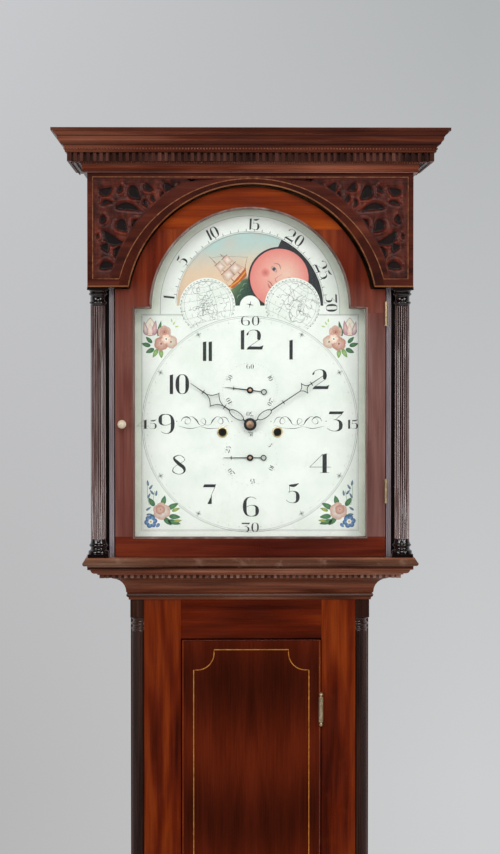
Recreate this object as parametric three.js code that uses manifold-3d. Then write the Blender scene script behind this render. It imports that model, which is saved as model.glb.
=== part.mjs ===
// Longcase clock with an eight-day movement: hood, trunk, base and works.
// Millimetres. +X is the viewer's right, -Y the front, +Z up.
// The origin lies on the floor, at the middle of the clock's width and depth.
import * as THREE from 'three'
import { mergeVertices } from 'three/addons/utils/BufferGeometryUtils.js'
import Module from 'manifold-3d'

const wasm = await Module()
wasm.setup()

// ---------------------------------------------------------------- driving sizes
const CASE_DEPTH = 270 // wall to the nose of the cornice
const BACK_Y = CASE_DEPTH / 2
const SEAM = 0.2 // glue line between two fixed pieces
const SLIP = 0.4 // running gap between pieces that move past each other
const ROUND = 16 // sides of a turned piece

// Boards
const BACKBOARD = 12
const TRUNK_BOARD = 14
const FRAME_BOARD = 16
const HOOD_BOARD = 13

// Trunk
const TRUNK_HALF = 166
const TRUNK_FRONT = 165 // depth of the front face, from the wall
const TRUNK_TOP = 1595
const WAIST_TOP = 562 // foot of the columns and stiles that show
const TRUNK_DOOR_HALF = 96
const TRUNK_DOOR_SHIFT = 2 // the door hangs a little right of the middle
const TRUNK_DOOR_BOTTOM = WAIST_TOP + 78
const TRUNK_DOOR_TOP = TRUNK_TOP - 105
const TRUNK_DOOR_THICK = 18
const TRUNK_DOOR_PROUD = 3
const DOOR_GAP = 1.5
const QUARTER_R = 19 // quarter column let into each front corner
const QUARTER_SHAFT_R = 17.5
const QUARTER_BLOCK = 25

// Throat moulding, between trunk and hood
const THROAT_HEIGHT = 49
const THROAT_TOP = TRUNK_TOP
const THROAT_BOTTOM = THROAT_TOP - THROAT_HEIGHT
const THROAT_REACH = 57
const THROAT_TOOTH_REACH = 41
const THROAT_TOOTH_BACK = 34
const THROAT_TEETH_FRONT = 49

// Base
const BASE_HALF = 212
const BASE_FRONT = 210
const BASE_BOTTOM = 62
const BASE_TOP = 500
const PLINTH_TOP = 112
const PLINTH_THICK = 14
const PLINTH_BEAD = 8
const BASE_BOARD = 18
const FOOT_WIDTH = 88
const SIDE_FOOT_WIDTH = 66
const REAR_FOOT_WIDTH = 50
const FOOT_ARCH = 58 // height of the gap between the bracket feet
const FOOT_TOE = 12 // height of the upright edge at a foot's toe
const FOOT_STEP = [30, 42] // from the toe to the two ends of the ogee's upper step

// Dial: the hood is laid out round it
const DIAL_HALF = 165
const DIAL_FRONT = 182
const DIAL_THICK = 2
const DIAL_ARCH_R = 140
const DIAL_FOOT = 16.5 // from the base frame's top to the dial's lower edge

// Hood
const HOOD_BASE_HEIGHT = 13.1
const HOOD_BASE_BOTTOM = THROAT_TOP + SLIP
const HOOD_BASE_TOP = HOOD_BASE_BOTTOM + HOOD_BASE_HEIGHT
const HOOD_BASE_REACH = 7.5
const DIAL_Z = HOOD_BASE_TOP + DIAL_FOOT + DIAL_HALF
const SIGHT_HALF = DIAL_HALF - 7
const DOOR_STILE = 27
const HOOD_DOOR_HALF = SIGHT_HALF + DOOR_STILE
const COLUMN_X = HOOD_DOOR_HALF + 23
const COLUMN_FOOT = 14
const HOOD_HALF = COLUMN_X + COLUMN_FOOT
const HOOD_SIDE_X = HOOD_HALF - 3 // outer face of the side boards
const HOOD_FRONT = 223
const FRIEZE_BOTTOM = DIAL_Z + DIAL_HALF + 23
const FRIEZE_TOP = FRIEZE_BOTTOM + 155
const FRIEZE_BOARD = 20
const FRIEZE_ARCH_X = 1.5
const ARCH_Z = FRIEZE_BOTTOM - 30
const FRIEZE_ARCH_R = 170
const SPANDREL_DEPTH = 4 // pocket behind the pierced scrolls
const SPANDREL_MARGIN = 24 // from the arch edge to the pocket
const SPANDREL_EDGE = 8
const CORNICE_TOP = FRIEZE_TOP + 58
const CORNICE_REACH = CASE_DEPTH - HOOD_FRONT
const CORNICE_LIP = 20 // how far the cornice runs in over the frieze
const CORNICE_RABBET = 8
const TOP_BOARD = 10
const TOOTH_BACK = 20
const TOOTH_REACH = 26
const TOOTH_BACKING = 1.5
const CORNICE_TEETH_FRONT = 57

// Columns of the hood
const COLUMN_DEPTH = 208.5
const COLUMN_R = 10.2
const COLUMN_END = 22.5

// Hood door and its glass
const HOOD_DOOR_FRONT = 210
const HOOD_DOOR_THICK = 18
const HOOD_DOOR_BOTTOM = HOOD_BASE_TOP + 0.5
const HOOD_DOOR_SHOULDER = FRIEZE_BOTTOM - 2.5
const HOOD_DOOR_ARCH_R = FRIEZE_ARCH_R - 3
const SIGHT_BOTTOM = HOOD_DOOR_BOTTOM + 27.5
const SIGHT_SHOULDER = HOOD_DOOR_SHOULDER - 26.5
const SIGHT_ARCH_R = 135
const SIGHT_ARCH_Z = ARCH_Z + 1.7
const GLASS_RABBET = 4
const GLASS_FRONT = 202
const GLASS_THICK = 2.5
const KNOB_X = -HOOD_DOOR_HALF + 9.5
const KNOB_Z = DIAL_Z + 1
const MASK_THICK = 7
const MASK_BACK = 184
const MASK_MARGIN = 1.5

// Hinges
const LEAF = 0.5
const PIN_GAP = 0.15
const HOOD_HINGE = { r: 1.8, pin: 0.9, height: 33, finial: 0, leafDepth: 13 }
const HOOD_HINGE_Z = [HOOD_DOOR_SHOULDER - 33.5, HOOD_DOOR_BOTTOM + 90]
const TRUNK_HINGE = { r: 3.2, pin: 1.6, height: 35, finial: 7, leafDepth: 14 }
const TRUNK_HINGE_Z = [TRUNK_DOOR_TOP - 97, TRUNK_DOOR_BOTTOM + 97]
const HOOD_HINGE_DEPTH = 212
const TRUNK_HINGE_DEPTH = 171.5

// Moon arch, small dials and winding holes
const MOON_Z = DIAL_Z + DIAL_HALF - 1.6
const MOON_SIGHT_R = 101
const MOON_ORBIT = 58.7
const HUMP_R = 38.5
const MID_HUMP_R = 14
const MOON_DISC_R = 112
const MOON_DISC_FRONT = 178
const SECONDS_UP = 46.9
const DATE_DOWN = 46.3
const WINDING_X = 38
const WINDING_DOWN = 11
const WINDING_HOLE_R = 6

// Hands, in the order they lie on the dial
const SMALL_HAND_FRONT = 184.3
const HOUR_FRONT = 187
const MINUTE_FRONT = 190.5
const HAND_THICK = 1.1
const HOUR_LENGTH = 99.7
const MINUTE_LENGTH = 124
const SECONDS_LENGTH = 35
const SECONDS_TAIL = 20
const DATE_LENGTH = 36
const DATE_TAIL = 19
const MINUTE_FORM = { boss: 9, loopAt: 22, loopHalf: 6.5, kiteAt: 88, kiteHalf: 7 }
const HOUR_FORM = { boss: 8, loopAt: 20, loopHalf: 6, kiteAt: 70, kiteHalf: 12 }
const SMALL_BOSS = 3.5
const HOUR_ANGLE = -55.4 // degrees clockwise from twelve
const MINUTE_ANGLE = 56.4
const SECONDS_ANGLE = 277
const DATE_ANGLE = 270

// Movement
const PLATE_HALF = 62
const PLATE_THICK = 3
const FRONT_PLATE = 155 // depth of the front plate's front face
const BACK_PLATE = 92 // depth of the back plate's back face
const PLATE_TOP = DIAL_Z + 95
const UPPER_PILLAR_X = 38
const LOWER_PILLAR_X = 55
const POST_R = 3.5 // pillars of the movement and feet of the dial
const SEAT_TOP = DIAL_Z - 86
const SEAT_THICK = 16
const CHEEK_TOP = SEAT_TOP - SEAT_THICK - 0.5
const SEAT_BACK = 88
const SEAT_FRONT = 172
const PIVOT_GAP = 0.3
const MINUTE_ARBOR_R = 2.4
const HOUR_PIPE_R = 4.6
const SMALL_ARBOR_R = 1.4
const ANCHOR_ARBOR_R = 1.5
const HAMMER_ARBOR_R = 1.8
const BARREL_ARBOR_R = 4
const BARREL_R = 22
const BARREL_BACK = 100
const BARREL_LENGTH = 36
const GREAT_WHEEL_R = 33
const CENTRE_WHEEL_R = 14
const HOUR_WHEEL_R = 26
const DATE_WHEEL_R = 20
const WHEEL_THICK = 1.5
const LINE_R = 0.8
const PULLEY_R = 18
const PULLEY_Z = CHEEK_TOP - 37.5
const WEIGHT_R = 28
const WEIGHT_LENGTH = 230
const WEIGHT_TOP = PULLEY_Z - 60
const ANCHOR_Z = DIAL_Z + 76
const ESCAPE_R = 18
const PENDULUM_DEPTH = 70
const PENDULUM_LENGTH = 994
const CRUTCH_LENGTH = 123
const BOB_R = 52
const SPRING_HALF = 2.8
const SPRING_SLOT = SPRING_HALF + 1.4 // room for the swing
const BOB_HALF_THICK = 11
const BELL_R = 50
const BELL_Z = DIAL_Z + 110
const BELL_DEPTH = 122
const HAMMER_X = -54
const HAMMER_Z = DIAL_Z + 45

// ---------------------------------------------------------------- helpers
const atDepth = (depth) => BACK_Y - depth
const rad = THREE.MathUtils.degToRad

function toSolid(geometry) {
  const bare = geometry.clone()
  bare.deleteAttribute('normal')
  bare.deleteAttribute('uv')
  const merged = mergeVertices(bare, 1e-5)
  const vertProperties = new Float32Array(merged.attributes.position.array)
  const triVerts = new Uint32Array(merged.index.array)
  return new wasm.Manifold(new wasm.Mesh({ numProp: 3, vertProperties, triVerts }))
}

function toGeometry(solid) {
  const mesh = solid.getMesh()
  const geometry = new THREE.BufferGeometry()
  geometry.setAttribute('position', new THREE.BufferAttribute(mesh.vertProperties, 3))
  geometry.setIndex(new THREE.BufferAttribute(mesh.triVerts, 1))
  return geometry
}

function join(...geometries) {
  return toGeometry(geometries.map(toSolid).reduce((sum, next) => sum.add(next)))
}

function cut(geometry, ...tools) {
  return toGeometry(tools.map(toSolid).reduce((rest, tool) => rest.subtract(tool), toSolid(geometry)))
}

function common(geometry, other) {
  return toGeometry(toSolid(geometry).intersect(toSolid(other)))
}

// Box between two x, two depths from the wall and two heights.
function block(x0, x1, depth0, depth1, z0, z1) {
  const geometry = new THREE.BoxGeometry(Math.abs(x1 - x0), Math.abs(depth1 - depth0), Math.abs(z1 - z0))
  return geometry.translate((x0 + x1) / 2, atDepth((depth0 + depth1) / 2), (z0 + z1) / 2)
}

// Outline in x and z, thick in depth.
function board(shape, depthBack, depthFront, curveSegments = 12) {
  const options = { depth: depthFront - depthBack, bevelEnabled: false, curveSegments }
  return new THREE.ExtrudeGeometry(shape, options).rotateX(Math.PI / 2).translate(0, atDepth(depthBack), 0)
}

// Outline in x and y, standing from z0 to z1.
function post(shape, z0, z1, curveSegments = 6) {
  const options = { depth: z1 - z0, bevelEnabled: false, curveSegments }
  return new THREE.ExtrudeGeometry(shape, options).translate(0, 0, z0)
}

function outline(points) {
  return new THREE.Shape(points.map(([a, b]) => new THREE.Vector2(a, b)))
}

// Profile of [radius, z], turned about an upright axis.
function turned(profile, x, depth, sides = ROUND) {
  const points = profile.map(([r, z]) => new THREE.Vector2(r, z))
  return new THREE.LatheGeometry(points, sides).rotateX(Math.PI / 2).translate(x, atDepth(depth), 0)
}

// Rod or disc whose axis runs from front to back.
function arbor(r, depth0, depth1, x, z, sides = 12) {
  const length = Math.abs(depth1 - depth0)
  return new THREE.CylinderGeometry(r, r, length, sides).translate(x, atDepth((depth0 + depth1) / 2), z)
}

function rod(r, x, depth, z0, z1, sides = 8) {
  const geometry = new THREE.CylinderGeometry(r, r, z1 - z0, sides).rotateX(Math.PI / 2)
  return geometry.translate(x, atDepth(depth), (z0 + z1) / 2)
}

// Moulding mitred round the front and both sides: profile of [reach, z] from a body of
// the given half width and front depth, running back to the wall.
function wrap(profile, half, front) {
  const stations = [
    ([reach, z]) => [-half - reach, BACK_Y, z],
    ([reach, z]) => [-half - reach, atDepth(front + reach), z],
    ([reach, z]) => [half + reach, atDepth(front + reach), z],
    ([reach, z]) => [half + reach, BACK_Y, z],
  ]
  const rings = stations.map((place) => profile.map(place))
  const count = profile.length
  const index = []
  for (let ring = 0; ring < rings.length - 1; ring++) {
    for (let i = 0; i < count; i++) {
      const a = ring * count + i
      const b = ring * count + ((i + 1) % count)
      index.push(a, b, b + count, a, b + count, a + count)
    }
  }
  const contour = profile.map(([reach, z]) => new THREE.Vector2(reach, z))
  const last = (rings.length - 1) * count
  for (const [a, b, c] of THREE.ShapeUtils.triangulateShape(contour, [])) {
    index.push(a, c, b)
    index.push(last + a, last + b, last + c)
  }
  const geometry = new THREE.BufferGeometry()
  geometry.setAttribute('position', new THREE.Float32BufferAttribute(rings.flat(2), 3))
  const anticlockwise = THREE.ShapeUtils.area(contour) > 0
  geometry.setIndex(anticlockwise ? index.reverse() : index)
  return geometry
}

// Points along a quarter or other arc of a profile, as [reach, z].
function arc(reach, z, r, from, to, steps = 4) {
  const points = []
  for (let i = 0; i <= steps; i++) {
    const angle = rad(from + ((to - from) * i) / steps)
    points.push([reach + r * Math.cos(angle), z + r * Math.sin(angle)])
  }
  return points
}

// Row of square teeth on a thin back, in plan: front run and two returns. The count is
// that of the front, odd, with a tooth on each corner; the sides keep the same pitch.
function teeth(back, reach, half, front, countFront, z0, z1) {
  const root = back + TOOTH_BACKING
  const outerX = half + reach
  const outerY = atDepth(front + reach)
  const rootY = atDepth(front + root)
  const pitch = (2 * outerX) / (countFront - 0.5)
  const width = pitch / 2
  const corner = reach - root + TOOTH_BACKING
  const countSide = Math.floor((BACK_Y - outerY - width) / pitch)
  const left = [[-half - back, BACK_Y], [-half - root, BACK_Y]]
  for (let i = countSide; i > 0; i--) {
    const y = outerY + i * pitch
    left.push([-half - root, y + width], [-outerX, y + width], [-outerX, y], [-half - root, y])
  }
  left.push([-half - root, outerY + corner], [-outerX, outerY + corner], [-outerX, outerY])
  left.push([-outerX + corner, outerY], [-outerX + corner, rootY])
  for (let i = 1; i < (countFront - 1) / 2; i++) {
    const x = -outerX + i * pitch
    left.push([x, rootY], [x, outerY], [x + width, outerY], [x + width, rootY])
  }
  left.push([-width / 2, rootY], [-width / 2, outerY])
  const right = left.map(([x, y]) => [-x, y]).reverse()
  const innerY = atDepth(front + back)
  return post(outline([...left, ...right, [half + back, innerY], [-half - back, innerY]]), z0, z1)
}

// ---------------------------------------------------------------- materials
const finish = (color, roughness, metalness = 0, extra = {}) =>
  new THREE.MeshStandardMaterial({ color, roughness, metalness, ...extra })
const MAHOGANY = () => finish(0x5a2a14, 0.35)
const DARK_MAHOGANY = () => finish(0x35170d, 0.35)
const PINE = () => finish(0x8a6540, 0.8)
const BRASS = () => finish(0xb08d4a, 0.35, 1)
const STEEL = () => finish(0x3a3c42, 0.35, 1)
const IRON = () => finish(0x2b2b2b, 0.7, 1)
const GUT = () => finish(0xb89a63, 0.7)
const PAINT = () => finish(0xdfe3da, 0.35)
const BONE = () => finish(0xe8dfc8, 0.4)
const GLASS = () => finish(0xe8f0f0, 0.05, 0, { transparent: true, opacity: 0.2 })

const clock = new THREE.Group()

function piece(name, geometry, material) {
  const mesh = new THREE.Mesh(geometry, material)
  mesh.name = name
  clock.add(mesh)
}

// The same piece on the viewer's left (-1) and right (+1).
function pair(name, make, material) {
  for (const [side, sign] of [['left', -1], ['right', 1]]) {
    piece(`${name}_${side}`, make(sign), material())
  }
}

// ---------------------------------------------------------------- case: boards
function backboard() {
  const shoulder = HOOD_BASE_TOP + 3.5
  const earHalf = HOOD_HALF - CORNICE_LIP - 2
  const baseHalf = BASE_HALF - SEAM
  const half = [
    [baseHalf, 20], [baseHalf, BASE_TOP - SEAM], [TRUNK_HALF, BASE_TOP - SEAM],
    [TRUNK_HALF, shoulder], [earHalf, shoulder], [earHalf, CORNICE_TOP - TOP_BOARD - 8],
  ]
  const mirrored = half.map(([x, z]) => [-x, z]).reverse()
  return board(outline([...half, ...mirrored]), 0, BACKBOARD)
}

const stileOuter = TRUNK_HALF - QUARTER_R - SEAM
const sideFront = TRUNK_FRONT - QUARTER_R
const doorLeft = TRUNK_DOOR_SHIFT - TRUNK_DOOR_HALF
const doorRight = TRUNK_DOOR_SHIFT + TRUNK_DOOR_HALF
const openingLeft = doorLeft - DOOR_GAP
const openingRight = doorRight + DOOR_GAP
const frameBack = TRUNK_FRONT - FRAME_BOARD

function trunkSide(sign) {
  const outer = sign * TRUNK_HALF
  const inner = sign * (TRUNK_HALF - TRUNK_BOARD)
  return block(inner, outer, BACKBOARD + SEAM, sideFront - SEAM, BASE_TOP + SEAM, CHEEK_TOP)
}

function trunkStile(sign) {
  const inner = sign < 0 ? openingLeft : openingRight
  return block(inner, sign * stileOuter, frameBack, TRUNK_FRONT, BASE_TOP + SEAM, THROAT_TOP)
}

function trunkRail(z0, z1) {
  return block(openingLeft + SEAM, openingRight - SEAM, frameBack, TRUNK_FRONT, z0, z1)
}

// Quarter of a turned column with square blocks at its ends, filling the front corner.
function quarterColumn(sign) {
  const x = TRUNK_HALF - QUARTER_R
  const depth = sideFront
  const top = THROAT_BOTTOM - SEAM
  const foot = WAIST_TOP + SEAM
  const shaftTop = top - QUARTER_BLOCK
  const shaftFoot = foot + QUARTER_BLOCK
  const profile = [
    [0, shaftFoot], [QUARTER_R - 0.5, shaftFoot], [QUARTER_R - 0.5, shaftFoot + 5],
    [QUARTER_R - 2.5, shaftFoot + 8], [QUARTER_R - 0.8, shaftFoot + 12], [QUARTER_R - 0.8, shaftFoot + 15],
    [QUARTER_SHAFT_R - 1, shaftFoot + 19], [QUARTER_SHAFT_R - 1, shaftTop - 21],
    [QUARTER_R - 0.8, shaftTop - 18], [QUARTER_R - 0.8, shaftTop - 15], [QUARTER_R - 3, shaftTop - 11],
    [QUARTER_R - 0.6, shaftTop - 5], [QUARTER_R - 0.5, shaftTop], [0, shaftTop],
  ]
  const column = common(
    turned(profile, sign * x, depth),
    block(sign * x, sign * (x + QUARTER_R), depth, depth + QUARTER_R, foot, top),
  )
  const cap = block(sign * x, sign * TRUNK_HALF, depth, TRUNK_FRONT, shaftTop - 0.5, top)
  const base = block(sign * x, sign * TRUNK_HALF, depth, TRUNK_FRONT, foot, shaftFoot + 0.5)
  return join(column, cap, base)
}

function throatMoulding() {
  const tooth = THROAT_TOP - 11
  const soffit = tooth - 4.7
  const profile = [
    [SEAM, THROAT_BOTTOM], [2, THROAT_BOTTOM], [2.4, THROAT_BOTTOM + 3.2],
    ...arc(2.6, THROAT_BOTTOM + 6.4, 2.8, -75, 75), [5, THROAT_BOTTOM + 10.6],
    ...arc(26, THROAT_BOTTOM + 11, 20.5, 180, 97, 6), [26, soffit],
    [THROAT_TOOTH_BACK, soffit], [THROAT_TOOTH_BACK, tooth],
    [43.5, tooth], [45, tooth + 2.6], ...arc(47, tooth + 8, 6, -100, -10), [THROAT_REACH, tooth + 8],
    [THROAT_REACH, THROAT_TOP], [SEAM, THROAT_TOP],
  ]
  return wrap(profile, TRUNK_HALF, TRUNK_FRONT)
}

function throatDentils() {
  const top = THROAT_TOP - 11 - SEAM
  const back = THROAT_TOOTH_BACK + SEAM
  return teeth(back, THROAT_TOOTH_REACH, TRUNK_HALF, TRUNK_FRONT, THROAT_TEETH_FRONT, top - 4.5, top)
}

function waistMoulding() {
  const foot = BASE_TOP + SEAM
  const step = BASE_HALF - TRUNK_HALF
  const hollow = arc(0, 0, 1, 270, 190, 6).map(([across, up]) =>
    [step + (step - 8) * across, WAIST_TOP - 10 + (WAIST_TOP - foot - 23) * up])
  const profile = [
    [SEAM, foot], [step + 4, foot], ...arc(step + 4, foot + 6, 4, -90, 90),
    [step, foot + 13], ...hollow, [5, WAIST_TOP - 6], [5, WAIST_TOP], [SEAM, WAIST_TOP],
  ]
  return wrap(profile, TRUNK_HALF, TRUNK_FRONT)
}

// ---------------------------------------------------------------- case: base
function baseFront() {
  return block(-BASE_HALF, BASE_HALF, BASE_FRONT - BASE_BOARD, BASE_FRONT, BASE_BOTTOM, BASE_TOP)
}

function baseSide(sign) {
  const outer = sign * BASE_HALF
  const inner = outer - sign * BASE_BOARD
  return block(inner, outer, BACKBOARD + SEAM, BASE_FRONT - BASE_BOARD - SEAM, BASE_BOTTOM, BASE_TOP)
}

// Plinth on bracket feet, round the front and both sides.
function plinth() {
  const beadFoot = PLINTH_TOP - PLINTH_BEAD - 2
  const profile = [
    [SEAM, 0], [PLINTH_THICK, 0], [PLINTH_THICK, beadFoot],
    ...arc(PLINTH_THICK - PLINTH_BEAD, beadFoot, PLINTH_BEAD, 0, 70, 3), [SEAM, PLINTH_TOP],
  ]
  const whole = wrap(profile, BASE_HALF, BASE_FRONT)
  const footArch = (from, to) => {
    const [near, far] = FOOT_STEP
    const shape = new THREE.Shape([
      new THREE.Vector2(from, -5), new THREE.Vector2(to, -5), new THREE.Vector2(to, FOOT_TOE),
    ])
    shape.quadraticCurveTo(to - 6, FOOT_ARCH - 14, to - near, FOOT_ARCH - 10)
    shape.lineTo(to - far, FOOT_ARCH)
    shape.lineTo(from + far, FOOT_ARCH)
    shape.lineTo(from + near, FOOT_ARCH - 10)
    shape.quadraticCurveTo(from + 6, FOOT_ARCH - 14, from, FOOT_TOE)
    return shape
  }
  const halfArch = BASE_HALF + PLINTH_THICK - FOOT_WIDTH
  const frontArch = board(footArch(-halfArch, halfArch), BASE_FRONT - 10, BASE_FRONT + 60, 4)
  const options = { depth: 2 * BASE_HALF + 100, bevelEnabled: false, curveSegments: 4 }
  const sideShape = footArch(REAR_FOOT_WIDTH, BASE_FRONT + PLINTH_THICK - SIDE_FOOT_WIDTH)
  const sideArch = new THREE.ExtrudeGeometry(sideShape, options)
  sideArch.rotateX(Math.PI / 2).rotateZ(-Math.PI / 2).translate(BASE_HALF + 50, BACK_Y, 0)
  return cut(whole, frontArch, sideArch)
}

// Board across the cheeks that carries the works, with slots for the two lines.
const strandOut = WINDING_X + BARREL_R + LINE_R
const lineDepth = BARREL_BACK + BARREL_LENGTH / 2
function seatboard() {
  const plank = block(-TRUNK_HALF, TRUNK_HALF, SEAT_BACK, SEAT_FRONT, SEAT_TOP - SEAT_THICK, SEAT_TOP)
  const slot = (sign) =>
    block(sign * (strandOut - 4), sign * (strandOut + 4), BARREL_BACK - 2, BARREL_BACK + BARREL_LENGTH + 2, 0, 3000)
  return cut(plank, slot(-1), slot(1))
}

// ---------------------------------------------------------------- hood
function cornice() {
  const z = (drop) => CORNICE_TOP - drop
  const foot = FRIEZE_TOP + SEAM
  const profile = [
    [-CORNICE_LIP, foot], [6, foot], ...arc(5.5, foot + 3, 1.8, -80, 80, 3),
    ...arc(18, foot + 5, 11.5, 178, 100, 4), [16, z(44.5)], [TOOTH_BACK, z(44.5)], [TOOTH_BACK, z(32)],
    [27.5, z(32)], ...arc(27.5, z(30.4), 1.5, -90, 60, 3), [29, z(28)],
    ...arc(36, z(28.5), 7.5, 172, 105, 3), [36, z(17.5)], [38, z(16)],
    [38.6, z(12)], [40.5, z(9)], [43, z(7)], [44, z(4.6)], [CORNICE_REACH, z(4)],
    [CORNICE_REACH, z(0)], [-CORNICE_RABBET, z(0)], [-CORNICE_RABBET, z(TOP_BOARD + 2)],
    [-CORNICE_LIP, z(TOP_BOARD + 2)],
  ]
  return wrap(profile, HOOD_HALF, HOOD_FRONT)
}

function hoodDentils() {
  const top = CORNICE_TOP - 32 - SEAM
  return teeth(TOOTH_BACK + SEAM, TOOTH_REACH, HOOD_HALF, HOOD_FRONT, CORNICE_TEETH_FRONT, top - 11.5, top)
}

// Rounded triangle between the arch and the top corner, shrunk by the margins.
function spandrel(sign) {
  const top = FRIEZE_TOP - SPANDREL_EDGE
  const side = sign * (HOOD_HALF - SPANDREL_EDGE)
  const bottom = FRIEZE_BOTTOM + 1.5 * SPANDREL_EDGE
  const r = FRIEZE_ARCH_R + SPANDREL_MARGIN
  const span = (z) => Math.sqrt(r * r - (z - ARCH_Z) ** 2)
  const startAngle = Math.acos(Math.min(span(bottom) / r, 1))
  const endAngle = Math.acos(45 / r)
  const points = [[side, top], [side, bottom]]
  for (let i = 0; i <= 8; i++) {
    const angle = startAngle + ((endAngle - startAngle) * i) / 8
    const z = Math.min(ARCH_Z + r * Math.sin(angle), top - 4)
    points.push([sign * span(z), z])
  }
  points.push([sign * 42, top])
  return board(outline(points), HOOD_FRONT - SPANDREL_DEPTH, HOOD_FRONT + 5)
}

function frieze() {
  const drop = FRIEZE_BOTTOM - ARCH_Z
  const start = Math.asin(drop / FRIEZE_ARCH_R)
  const reach = FRIEZE_ARCH_R * Math.cos(start)
  const shape = new THREE.Shape([
    new THREE.Vector2(-HOOD_HALF, FRIEZE_BOTTOM), new THREE.Vector2(FRIEZE_ARCH_X - reach, FRIEZE_BOTTOM),
  ])
  shape.absarc(FRIEZE_ARCH_X, ARCH_Z, FRIEZE_ARCH_R, Math.PI - start, start, true)
  shape.lineTo(HOOD_HALF, FRIEZE_BOTTOM)
  shape.lineTo(HOOD_HALF, FRIEZE_TOP)
  shape.lineTo(-HOOD_HALF, FRIEZE_TOP)
  const plain = board(shape, HOOD_FRONT - FRIEZE_BOARD, HOOD_FRONT, 20)
  return cut(plain, spandrel(-1), spandrel(1))
}

const stileBack = MASK_BACK + MASK_THICK + SEAM
const friezeBack = HOOD_FRONT - FRIEZE_BOARD
function hoodSide(sign) {
  const outer = sign * HOOD_SIDE_X
  const inner = outer - sign * HOOD_BOARD
  return block(inner, outer, 0, stileBack - SEAM, HOOD_BASE_TOP + SEAM, FRIEZE_TOP)
}

// Corner post: reeded edge beside the door, and a thin board behind the column.
function hoodStile(sign) {
  const inner = HOOD_DOOR_HALF + 1.5
  const edge = inner + 7
  const front = friezeBack - SEAM
  const recess = stileBack + 2.5
  const points = [
    [inner, stileBack], [inner, front], [edge, front], [edge, recess],
    [HOOD_SIDE_X, recess], [HOOD_SIDE_X, stileBack],
  ]
  const shape = outline(points.map(([x, depth]) => [sign * x, atDepth(depth)]))
  return post(shape, HOOD_BASE_TOP + SEAM, FRIEZE_TOP)
}

function hoodColumn(sign) {
  const foot = HOOD_BASE_TOP + SEAM
  const top = FRIEZE_BOTTOM - SEAM
  const low = foot + COLUMN_END
  const high = top - COLUMN_END
  const profile = [
    [0, foot + 4], [COLUMN_FOOT, foot + 4], ...arc(COLUMN_FOOT - 2, foot + 6.5, 2.5, -60, 60, 2),
    [COLUMN_R, foot + 10.5], [COLUMN_R, foot + 13], ...arc(COLUMN_R + 1.2, foot + 16, 2, -60, 60, 2),
    [COLUMN_R, low], [COLUMN_R - 0.4, high], [COLUMN_R + 1.6, high + 1.2], [COLUMN_R + 1.6, high + 3.6],
    [COLUMN_R - 1, high + 5.5], [COLUMN_R - 1, high + 11], [COLUMN_R + 2.8, high + 17], [0, high + 18],
  ]
  const x = sign * COLUMN_X
  const blockAt = (r, z0, z1) => block(x - r, x + r, COLUMN_DEPTH - r, COLUMN_DEPTH + r, z0, z1)
  return join(
    turned(profile, x, COLUMN_DEPTH),
    blockAt(COLUMN_FOOT, foot, foot + 4.5),
    blockAt(COLUMN_FOOT, high + 17.2, top),
  )
}

function hoodBase() {
  const inner = Math.max(TRUNK_HALF + 2 - HOOD_HALF, TRUNK_FRONT + 4 - HOOD_FRONT)
  const bottom = HOOD_BASE_BOTTOM
  const profile = [
    [inner, bottom], [1, bottom], [1, bottom + 2], [4.5, bottom + 2],
    ...arc(HOOD_BASE_REACH - 3, bottom + 5, 3, -80, 60, 4), [4, HOOD_BASE_TOP - 2.4],
    [2.5, HOOD_BASE_TOP], [inner, HOOD_BASE_TOP],
  ]
  return wrap(profile, HOOD_HALF, HOOD_FRONT)
}

function topBoard() {
  const half = HOOD_HALF - CORNICE_RABBET - SLIP
  const z1 = CORNICE_TOP - 2 + SEAM
  return block(-half, half, 0, HOOD_FRONT - CORNICE_RABBET - SLIP, z1 - TOP_BOARD, z1)
}

// Door-like outline: straight sides, a flat shoulder and an arch.
function archOutline(half, bottom, shoulder, archX, archZ, archR, Kind = THREE.Shape) {
  const start = Math.asin((shoulder - archZ) / archR)
  const shape = new Kind([
    new THREE.Vector2(-half, shoulder), new THREE.Vector2(-half, bottom), new THREE.Vector2(half, bottom),
    new THREE.Vector2(half, shoulder), new THREE.Vector2(archX + archR * Math.cos(start), shoulder),
  ])
  shape.absarc(archX, archZ, archR, start, Math.PI - start, false)
  return shape
}

function sight(grow, Kind = THREE.Shape) {
  return archOutline(
    SIGHT_HALF + grow, SIGHT_BOTTOM - grow, SIGHT_SHOULDER + grow, 0, SIGHT_ARCH_Z, SIGHT_ARCH_R + grow, Kind)
}

function dialMask() {
  const half = HOOD_SIDE_X - HOOD_BOARD - SEAM
  const shape = outline([
    [-half, HOOD_BASE_TOP + SEAM], [half, HOOD_BASE_TOP + SEAM], [half, FRIEZE_TOP], [-half, FRIEZE_TOP],
  ])
  shape.holes.push(sight(MASK_MARGIN, THREE.Path))
  return board(shape, MASK_BACK, MASK_BACK + MASK_THICK, 18)
}

// ---------------------------------------------------------------- hood door
const hoodDoorBack = HOOD_DOOR_FRONT - HOOD_DOOR_THICK
function hoodDoor() {
  const shape = archOutline(
    HOOD_DOOR_HALF, HOOD_DOOR_BOTTOM, HOOD_DOOR_SHOULDER, 0, ARCH_Z, HOOD_DOOR_ARCH_R)
  shape.holes.push(sight(0, THREE.Path))
  const frame = board(shape, hoodDoorBack, HOOD_DOOR_FRONT, 18)
  return cut(frame, board(sight(GLASS_RABBET), hoodDoorBack - 5, GLASS_FRONT, 18))
}

function hoodGlass() {
  return board(sight(GLASS_RABBET - SLIP), GLASS_FRONT - GLASS_THICK - SEAM, GLASS_FRONT - SEAM, 18)
}

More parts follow.
